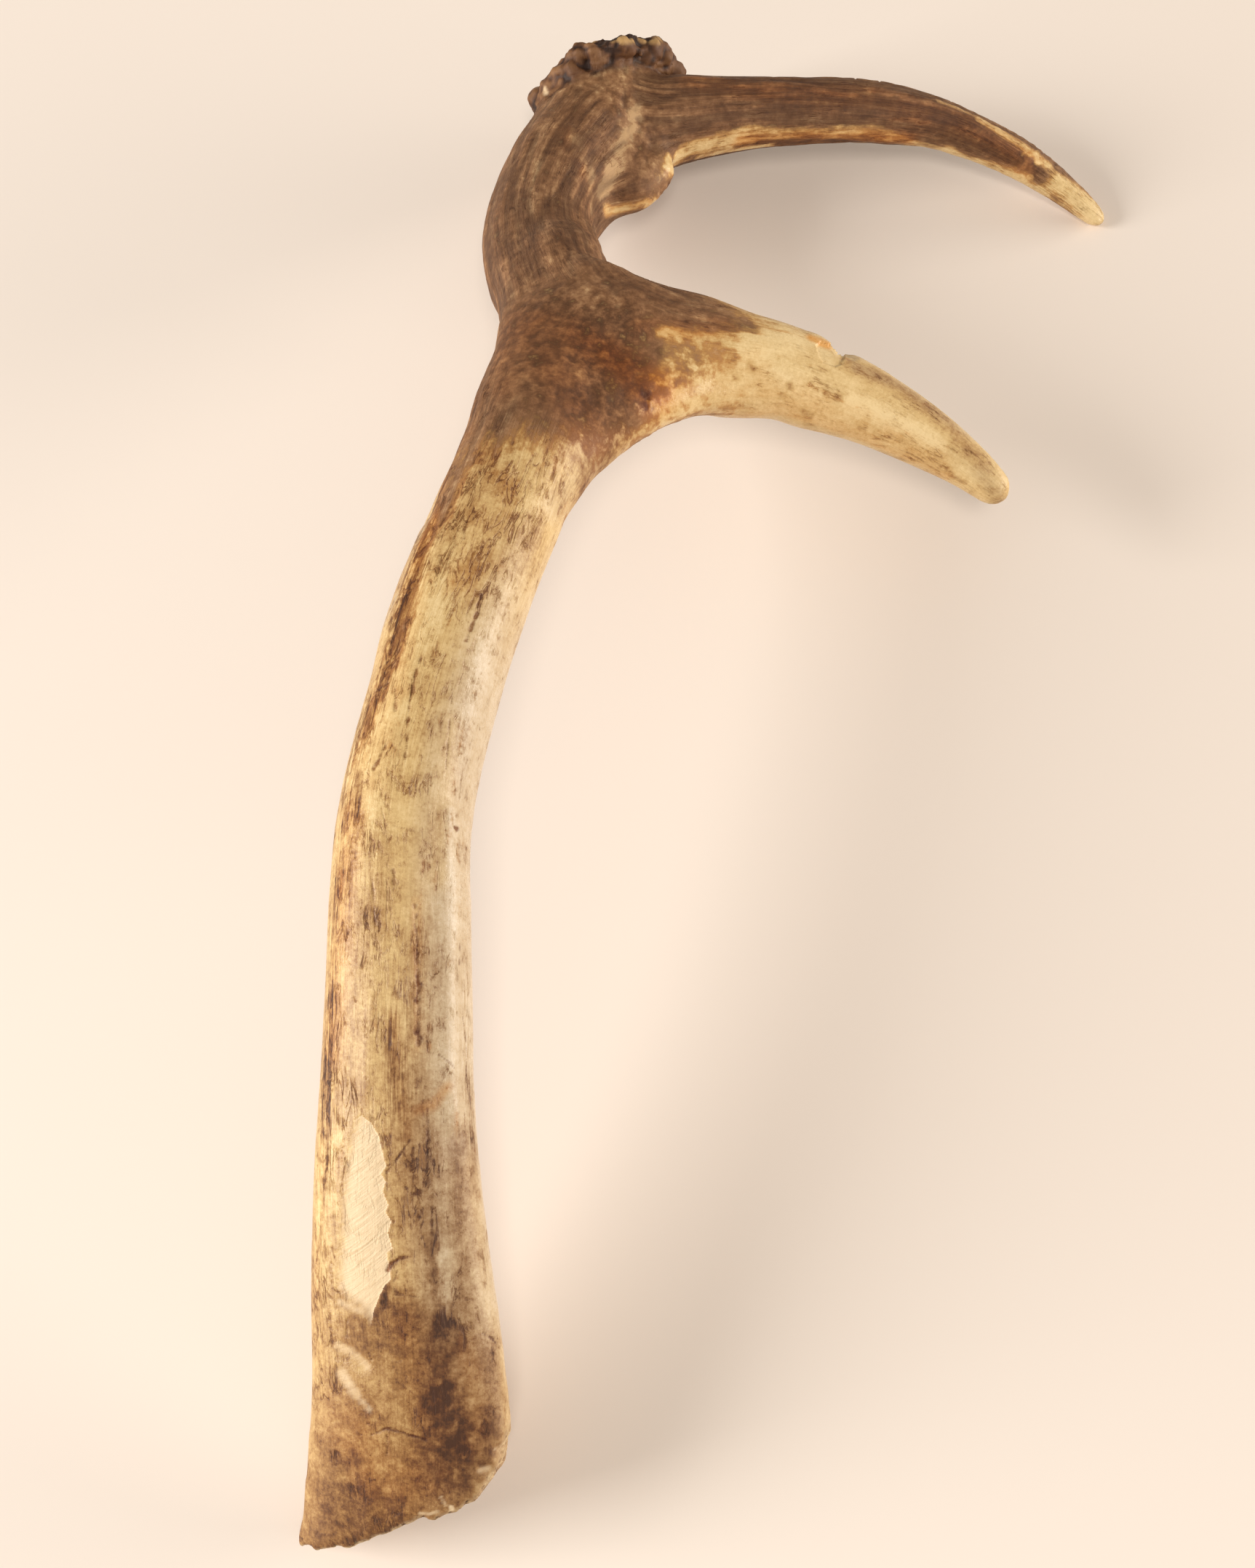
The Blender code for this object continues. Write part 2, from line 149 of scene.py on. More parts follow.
def ease(value, low, high):  # 0 below low, 1 above high, and smooth between
    share = np.clip((value - low) / (high - low), 0, 1)
    return share * share * (3 - 2 * share)


def grainOf(places):  # the grain, how far each place is out on each tine, and where two grains cross
    found = {name: alongLine(points, places) for name, points in lines.items()}
    radius = grainShape['round']

    def drawn(name):
        far, angle, _ = found[name]
        return np.stack([radius * np.cos(angle), radius * np.sin(angle), far], 1)

    off = {name: each[2] for name, each in found.items()}
    onMiddle = ease(off['beam'] - off['middle'], *grainShape['toMiddle'])
    onBrow = ease(np.minimum(off['beam'], off['middle']) - off['brow'], *grainShape['toBrow'])
    grain, crossing = drawn('beam'), np.zeros(len(places))
    for name, share in (('middle', onMiddle), ('brow', onBrow)):
        turn = drawn(name) - grain
        apart = ease(np.linalg.norm(turn, axis=1), *grainShape['apart'])
        crossing = np.maximum(crossing, 4 * share * (1 - share) * apart)
        grain = grain + turn * share[:, None]
    return grain, onMiddle, onBrow, crossing


# The kerfs that part the solids, and how far each side is drawn over to its neighbour.
kerfs = {
    'places': [((-66.7, 27.0, 68.1), (-0.30, -0.95, 0.06)), ((-18.2, 77.5, 54.3), (0.975, 0.05, -0.21)),
               ((-15.2, 184.5, 28.1), (0.99, 0.10, 0.0))],
    'reach': 30.0,
    'near': 0.25,
    'overlap': 0.5,
}
# The ends of the antler and the chip, where they lie and what belongs to them.
burr = {
    'middle': (-40.8, 193.9, 24.2),
    'facing': (-0.371, 0.928, 0.0),
    'beads': 64,
    'beadOut': (17.6, 22.4),
    'beadAlong': (-4.4, 3.0),
    'beadSizes': (1.1, 2.9),
    'seed': 12,
    'ringAlong': (4.5, 8),  # the ring of beads fades out over this, along the beam
    'ringRound': (15, 18.5),
    'sealAhead': (2.5, 4.5),  # the shed face, ahead of the middle and round it
    'sealRound': (15.5, 17.5),
}
brokenEnd = {
    'at': (-82.8, -191.5, 15.6),
    'axis': (-0.063, 0.882, 0.467),
    'roll': 12.0,
    'slant': 0.53,  # how far the break runs back for each step across
    'facing': (0.47, 0.883),  # the way that its face looks: across, and out along the beam
    'faces': (0.45, 0.75),  # how squarely a place looks that way
    'deep': (6, 10),
}
chipShape = {
    'at': (26.4, 80.9, 51.8),
    'reach': 14,  # nothing farther off is chipped
    'edge': (-0.1, 0.4),  # how its edge drops
    'far': 8,  # no gap to the edge counts for more
    'pale': 0.8,
}
skinShape = {
    'voxel': 1.18,
    'fill': 0.25,  # makes up for what the easing takes off
    'weld': 1e-5,  # metres
}


def closeKerfs(piece):
    middle = sum((v.co for v in piece.verts), Vector()) / len(piece.verts)
    for at, way in kerfs['places']:
        at, way = Vector(at) * mm, Vector(way).normalized()
        side = 1 if (middle - at).dot(way) > 0 else -1
        cap = [v for v in piece.verts
               if abs((v.co - at).dot(way)) < kerfs['near'] * mm and (v.co - at).length < kerfs['reach'] * mm]
        bmesh.ops.translate(piece, verts=cap, vec=-side * kerfs['overlap'] * mm * way)


def addBeads(antler):
    turn = Vector(burr['facing']).to_track_quat('Z', 'Y').to_matrix().to_4x4()
    place = Matrix.Translation(Vector(burr['middle']) * mm) @ turn
    chance = Random(burr['seed'])
    for _ in range(burr['beads']):
        angle = chance.uniform(0, tau)
        out = chance.uniform(*burr['beadOut'])
        along = chance.uniform(*burr['beadAlong'])
        spot = Matrix.Translation(Vector((out * cos(angle), out * sin(angle), along)) * mm)
        size = chance.uniform(*burr['beadSizes']) * mm
        bmesh.ops.create_icosphere(antler, subdivisions=2, radius=size, matrix=place @ spot)


def breakWays():  # across the break, and inwards along the beam
    axis = Vector(brokenEnd['axis']).normalized()
    across = axis.cross(Vector((0, 0, 1))).normalized()
    roll = radians(brokenEnd['roll'])
    return np.array(across * cos(roll) + across.cross(axis) * sin(roll)), np.array(axis)


def fromBreak(places):  # how far each place lies inwards from the slanted break
    side, axis = breakWays()
    gap = places / mm - np.array(brokenEnd['at'])
    return gap @ axis - brokenEnd['slant'] * (gap @ side)


def baked(thing):
    mesh = bpy.data.meshes.new_from_object(thing.evaluated_get(bpy.context.evaluated_depsgraph_get()))
    thing.modifiers.clear()
    thing.data = mesh


def growSkin():
    antler = bmesh.new()
    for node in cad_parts.values():
        piece = bmesh.new()
        piece.from_mesh(node.data)
        bmesh.ops.remove_doubles(piece, verts=piece.verts, dist=skinShape['weld'])
        closeKerfs(piece)
        mesh = bpy.data.meshes.new('piece')
        piece.to_mesh(mesh)
        piece.free()
        antler.from_mesh(mesh)
        bpy.data.meshes.remove(mesh)
    addBeads(antler)
    mesh = bpy.data.meshes.new('antlerSkin')
    antler.to_mesh(mesh)
    antler.free()
    thing = putIn('antler_skin', mesh)
    fuse = thing.modifiers.new('fuse', 'REMESH')
    fuse.mode = 'VOXEL'
    fuse.voxel_size = skinShape['voxel'] * mm
    baked(thing)
    keepLargest(thing)
    print('fused', len(thing.data.polygons), 'faces')
    return thing


def keepLargest(thing):  # drops the crumbs that the fusing leaves
    antler = bmesh.new()
    antler.from_mesh(thing.data)
    islands, seen = [], set()
    for start in antler.verts:
        if start in seen:
            continue
        island, waiting = [], [start]
        seen.add(start)
        while waiting:
            vert = waiting.pop()
            island.append(vert)
            for edge in vert.link_edges:
                other = edge.other_vert(vert)
                if other not in seen:
                    seen.add(other)
                    waiting.append(other)
        islands.append(island)
    islands.sort(key=len)
    crumbs = [vert for island in islands[:-1] for vert in island]
    bmesh.ops.delete(antler, geom=crumbs, context='VERTS')
    antler.to_mesh(thing.data)
    antler.free()


def readMesh(mesh):
    count = len(mesh.vertices)
    places, ways = np.empty(count * 3), np.empty(count * 3)
    mesh.vertices.foreach_get('co', places)
    mesh.vertex_normals.foreach_get('vector', ways)
    return places.reshape(-1, 3), ways.reshape(-1, 3)


def zones(places, ways):  # how much each place belongs to the broken face, the shed face and the burr
    side, axis = breakWays()
    across, along = brokenEnd['facing']
    facing = across * (ways @ side) - along * (ways @ axis)
    raw = ease(facing, *brokenEnd['faces']) * (1 - ease(fromBreak(places), *brokenEnd['deep']))
    out = np.array(Vector(burr['facing']).normalized())
    gap = places / mm - np.array(burr['middle'])
    ahead = gap @ out
    wide = np.linalg.norm(gap - ahead[:, None] * out, axis=1)
    seal = ease(ahead, *burr['sealAhead']) * (1 - ease(wide, *burr['sealRound']))
    ring = (1 - ease(np.abs(ahead), *burr['ringAlong'])) * ease(wide, *burr['ringRound'])
    return raw, seal, ring


easing = {
    'rounds': 34,
    'factor': 0.5,
    'least': 0.04,
    'level': 0.0051,  # a little over half of the steps of 0.01 that the weights go in
    'kept': {'ring': 0.95, 'rim': 0.8, 'tips': 0.75, 'seal': 0.6, 'chip': 0.82},
    'rim': (1, 4),  # where each of these fades out
    'tips': (3, 14),
    'chip': (7, 11),
}


def easeSkin(thing):  # takes the facets off, but keeps most of the burr, the break, the chip and the tips
    places, ways = readMesh(thing.data)
    _, seal, ring = zones(places, ways)
    shares = {
        'ring': ring,
        'rim': 1 - ease(fromBreak(places), *easing['rim']),
        'tips': 1 - np.minimum.reduce([ease(awayFrom(lines[name][-2], places), *easing['tips'])
                                       for name in ('middle', 'brow')]),
        'seal': seal,
        'chip': 1 - ease(awayFrom(chipShape['at'], places), *easing['chip']),
    }
    amount = np.ones(len(places))
    for name, share in shares.items():
        amount -= easing['kept'][name] * share
    amount = np.clip(amount, easing['least'], 1)
    group = thing.vertex_groups.new(name='plain')
    for level in np.unique(np.round(amount, 2)):
        chosen = np.flatnonzero(np.abs(amount - level) < easing['level'])
        group.add(chosen.tolist(), float(level), 'REPLACE')
    smooth = thing.modifiers.new('ease', 'SMOOTH')
    smooth.factor = easing['factor']
    smooth.iterations = easing['rounds']
    smooth.vertex_group = 'plain'
    baked(thing)
    thing.vertex_groups.clear()


pixelSearch = {
    'near': 0.4,  # metres from the camera, for a pixel that just misses the antler
    'step': 0.01,
    'steps': 36,
    'strokeStep': 3,  # pixels
}


class Skin:  # the antler's vertices, and what is painted on them
    def __init__(self, thing):
        self.places, self.ways = readMesh(thing.data)
        self.tree = BVHTree.FromObject(thing, bpy.context.evaluated_depsgraph_get())

    def under(self, x, y):  # the place on the skin under one pixel of the photo
        way = rayTo(x, y)
        hit = self.tree.ray_cast(eyePlace, way)[0]
        if hit:
            return hit
        tries = [self.tree.find_nearest(eyePlace + way * (pixelSearch['near'] + pixelSearch['step'] * i))
                 for i in range(pixelSearch['steps'])]
        return min(tries, key=lambda each: each[3])[0]

    def near(self, stroke, reach):  # vertices within reach of a stroke, and how far each is from it
        points = []
        for (ax, ay), (bx, by) in zip(stroke, stroke[1:] or stroke):
            steps = max(1, int(((bx - ax) ** 2 + (by - ay) ** 2) ** 0.5 / pixelSearch['strokeStep']))
            points += [self.under(ax + (bx - ax) * i / steps, ay + (by - ay) * i / steps)
                       for i in range(steps + 1)]
        line = np.array(points)
        low, high = line.min(0) - reach * mm, line.max(0) + reach * mm
        chosen = np.flatnonzero(((self.places > low) & (self.places < high)).all(1))
        if not len(chosen):
            return chosen, np.zeros(0)
        nearby = self.places[chosen]
        return chosen, np.linalg.norm(nearby - line[nearestOn(line, nearby)], axis=1) / mm


# Fine marks drawn on the photo: half the width of each, how strong it is and where it runs.
fineMarks = [
    (0.40, 1.0, [(533, 1747), (538, 1738), (546, 1733), (560, 1728)]),
    (0.22, 0.8, [(547, 1747), (541, 1762), (545, 1778), (560, 1780), (575, 1783)]),
    (0.30, 0.9, [(508, 1973), (522, 1968), (533, 1962)]),
    (0.30, 1.0, [(533, 1962), (551, 1968), (568, 1973), (585, 1979)]),
    (0.18, 0.7, [(533, 1962), (533, 1997)]),
    (0.20, 0.6, [(545, 1872), (555, 1868)]),
    (0.28, 1.0, [(662, 1833), (671, 1838), (679, 1845)]),
    (0.30, 0.7, [(570, 1245), (573, 1290), (574, 1345)]),
    (0.50, 1.0, [(574, 1345), (575, 1362), (574, 1380)]),
    (0.28, 0.7, [(575, 1380), (576, 1414)]),
    (0.45, 1.0, [(575, 1414), (576, 1438)]),
    (0.22, 0.9, [(532, 1612), (548, 1591), (563, 1567)]),
    (0.35, 0.9, [(558, 1631), (562, 1638), (571, 1642), (578, 1637)]),
    (0.25, 0.8, [(590, 1176), (591, 1191)]),
    (0.22, 0.7, [(630, 1288), (629, 1326)]),
    (0.22, 0.8, [(634, 1395), (638, 1420), (641, 1450), (640, 1488)]),
    (0.28, 0.8, [(587, 1525), (588, 1560), (587, 1600), (588, 1632)]),
    (0.28, 0.8, [(593, 1660), (594, 1697)]),
    (0.35, 0.9, [(662, 819), (653, 848), (641, 882)]),
    (0.35, 0.9, [(578, 907), (573, 925), (568, 940), (564, 965), (560, 994)]),
    (0.30, 0.8, [(560, 1011), (557, 1048)]),
    (0.30, 0.8, [(543, 948), (545, 977)]),
    (0.35, 0.9, [(532, 1023), (526, 1034), (522, 1044), (514, 1058)]),
    (0.22, 0.7, [(622, 928), (620, 965), (617, 1000), (612, 1057)]),
    (0.30, 0.8, [(641, 719), (637, 748)]),
    (0.35, 0.8, [(620, 698), (613, 712), (606, 722)]),
    (0.30, 0.8, [(607, 765), (602, 796)]),
    (0.28, 0.8, [(511, 1207), (514, 1240), (516, 1272)]),
    (0.30, 0.8, [(541, 1195), (541, 1222)]),
    (0.25, 0.7, [(479, 1812), (477, 1836)]),
    (0.20, 0.6, [(603, 1451), (612, 1458), (622, 1468)]),
    (0.16, 0.5, [(509, 1128), (540, 1135), (568, 1143)]),
    (0.45, 1.0, [(623, 1139), (625, 1141)]),
    (0.35, 0.9, [(507, 1860), (511, 1868)]),
    (0.25, 0.7, [(552, 2076), (543, 2083)]),
    (1.3, 0.8, [(889, 545), (891, 556)]),
]
scrapePatch = {
    'right': [(497, 1533), (510, 1543), (521, 1561), (527, 1587), (531, 1603), (524, 1614), (531, 1624),
              (526, 1637), (534, 1656), (530, 1666), (538, 1680), (533, 1695), (540, 1717), (532, 1723),
              (535, 1740), (538, 1758), (529, 1768), (523, 1780), (515, 1800), (511, 1821)],
    'left': [(488, 1540), (482, 1562), (475, 1600), (469, 1650), (468, 1698), (465, 1740), (463, 1772),
             (480, 1790), (498, 1803), (507, 1823)],
}
chipPatch = [(1119, 477), (1128, 470), (1138, 474), (1148, 470), (1162, 482), (1159, 501), (1148, 505),
             (1132, 499), (1121, 489)]

# Ridges and grooves in the bone: height, half width and where each runs.
swells = [
    (0.55, 2.6, [(618, 1120), (620, 1200), (622, 1300), (620, 1400), (618, 1465), (622, 1540)]),
    (-0.30, 2.2, [(590, 1180), (588, 1260), (590, 1330)]),
    (-0.22, 0.9, [(571, 1245), (573, 1290), (575, 1360), (576, 1438)]),
    (-0.30, 1.6, [(625, 1152), (625, 1176)]),
    (-0.35, 2.5, [(594, 1700), (596, 1779), (600, 1830)]),
    (0.25, 1.6, [(505, 1500), (508, 1430), (512, 1380)]),
    (-0.25, 1.2, [(552, 1500), (545, 1450), (540, 1400)]),
    (0.40, 3.0, [(582, 723), (557, 815), (524, 932)]),
    (-0.30, 1.4, [(596, 720), (570, 810), (538, 925), (508, 1015)]),
    (-0.45, 1.5, [(664, 2018), (672, 2024)]),
    (-0.40, 1.3, [(684, 1993), (690, 1996)]),
    (-0.30, 1.5, [(470, 1862), (500, 1878)]),
]

# Small pushes that bring the skin onto the photo's outline: where, which way and how far round.
pushes = [
    ((-60, 30, 70), (-0.9, 0, 0), 75),
    ((-79, -60, 68), (-0.6, 0, 0), 60),
    ((-83, -130, 45), (-0.5, 0, 0), 45),
    ((-76, 40, 70), (0.8, 0, 0), 20),
    ((-85, -5, 78), (-1.2, 0, 0), 24),
    ((-43, 38, 63), (1.2, -1.2, 0), 18),
    ((-7, 65, 51), (0, -1.7, 0), 14),
    ((-20, 90, 64), (0, 1.2, 0.6), 22),
    ((40, 66, 40), (0, 0.6, 0), 34),
    ((-8, 66, 48), (0.3, 2.2, 0), 20),
    ((-20, 60, 52), (1.2, 0.6, 0), 14),
    ((-30, 61, 45), (-0.6, 2.4, 0), 18),
    ((-12, 71, 40), (0, -0.9, 0), 12),
    ((-40, 142, 38), (-1.6, 0.8, 0), 15),
    ((-70, 95, 48), (1.6, 0.3, 0), 18),
    ((-76, 128, 36), (-0.8, 0, 0), 26),
    ((30, 190, 27), (0, 0.7, 0.4), 45),
    ((85, 181, 12), (0.2, 0.7, 0.3), 26),
    ((13, 83, 53), (0.2, 0.7, 0.2), 5),
    ((21, 81, 53), (0.2, -1.7, -0.3), 5),
    ((-46, 107, 58), (0.8, 1.0, 3.4), 21),
    ((-38, 95, 68), (-0.2, -0.7, -0.8), 10),
    ((-43, 124, 46), (1.0, 0.2, 0), 9),
]
pushCore = 0.25  # the share of the reach that moves as a whole


def pushSkin(thing):
    places, _ = readMesh(thing.data)
    for at, move, reach in pushes:
        share = 1 - ease(awayFrom(at, places), reach * pushCore, reach)
        places += share[:, None] * np.array(move) * mm
    thing.data.vertices.foreach_set('co', places.ravel())
    thing.data.update()


def refine(thing, wanted):
    antler = bmesh.new()
    antler.from_mesh(thing.data)
    antler.faces.ensure_lookup_table()
    antler.edges.ensure_lookup_table()
    chosen = sorted({edge.index for index in wanted for edge in antler.faces[index].edges})
    bmesh.ops.subdivide_edges(antler, edges=[antler.edges[index] for index in chosen], cuts=1,
                              use_grid_fill=True)
    antler.to_mesh(thing.data)
    antler.free()
    print('refined to', len(thing.data.polygons), 'faces')


def faceMiddles(mesh):
    middles, ways = np.empty(len(mesh.polygons) * 3), np.empty(len(mesh.polygons) * 3)
    mesh.polygons.foreach_get('center', middles)
    mesh.polygons.foreach_get('normal', ways)
    return middles.reshape(-1, 3), ways.reshape(-1, 3)


# What is fine enough for smaller faces: the ends, and how near a face is to each kind of drawing.
fine = {
    'ends': {'raw': 0.1, 'deep': 8, 'seal': 0.1, 'ring': 0.4, 'rim': 2.5},
    'once': {'mark': 1.6, 'scrape': 1.8, 'fade': 4.0, 'chip': 4.0},
    'twice': {'mark': 0.8, 'scrape': 1.1, 'chip': 3.0},
}


def nearDrawing(skin, reaches):  # which places are close to what is drawn finely
    drawn = [('mark', stroke) for _, _, stroke in fineMarks]
    drawn += [('scrape', scrapePatch['right']), ('fade', scrapePatch['left']), ('chip', chipPatch)]
    found = np.zeros(len(skin.places), bool)
    for name, stroke in drawn:
        if name in reaches:
            chosen, gap = skin.near(stroke, reaches[name])
            found[chosen[gap < reaches[name]]] = True
    return found


def refineWhereFine(thing):
    skin = Skin(thing)
    skin.places, ways = faceMiddles(thing.data)
    raw, seal, ring = zones(skin.places, ways)
    lift, ends = fromBreak(skin.places), fine['ends']
    rough = (raw > ends['raw']) & (lift < ends['deep']) | (lift < ends['rim'])
    rough |= (seal > ends['seal']) | (ring > ends['ring'])
    refine(thing, np.flatnonzero(rough | nearDrawing(skin, fine['once'])))
    skin.places, _ = faceMiddles(thing.data)
    refine(thing, np.flatnonzero(nearDrawing(skin, fine['twice'])))
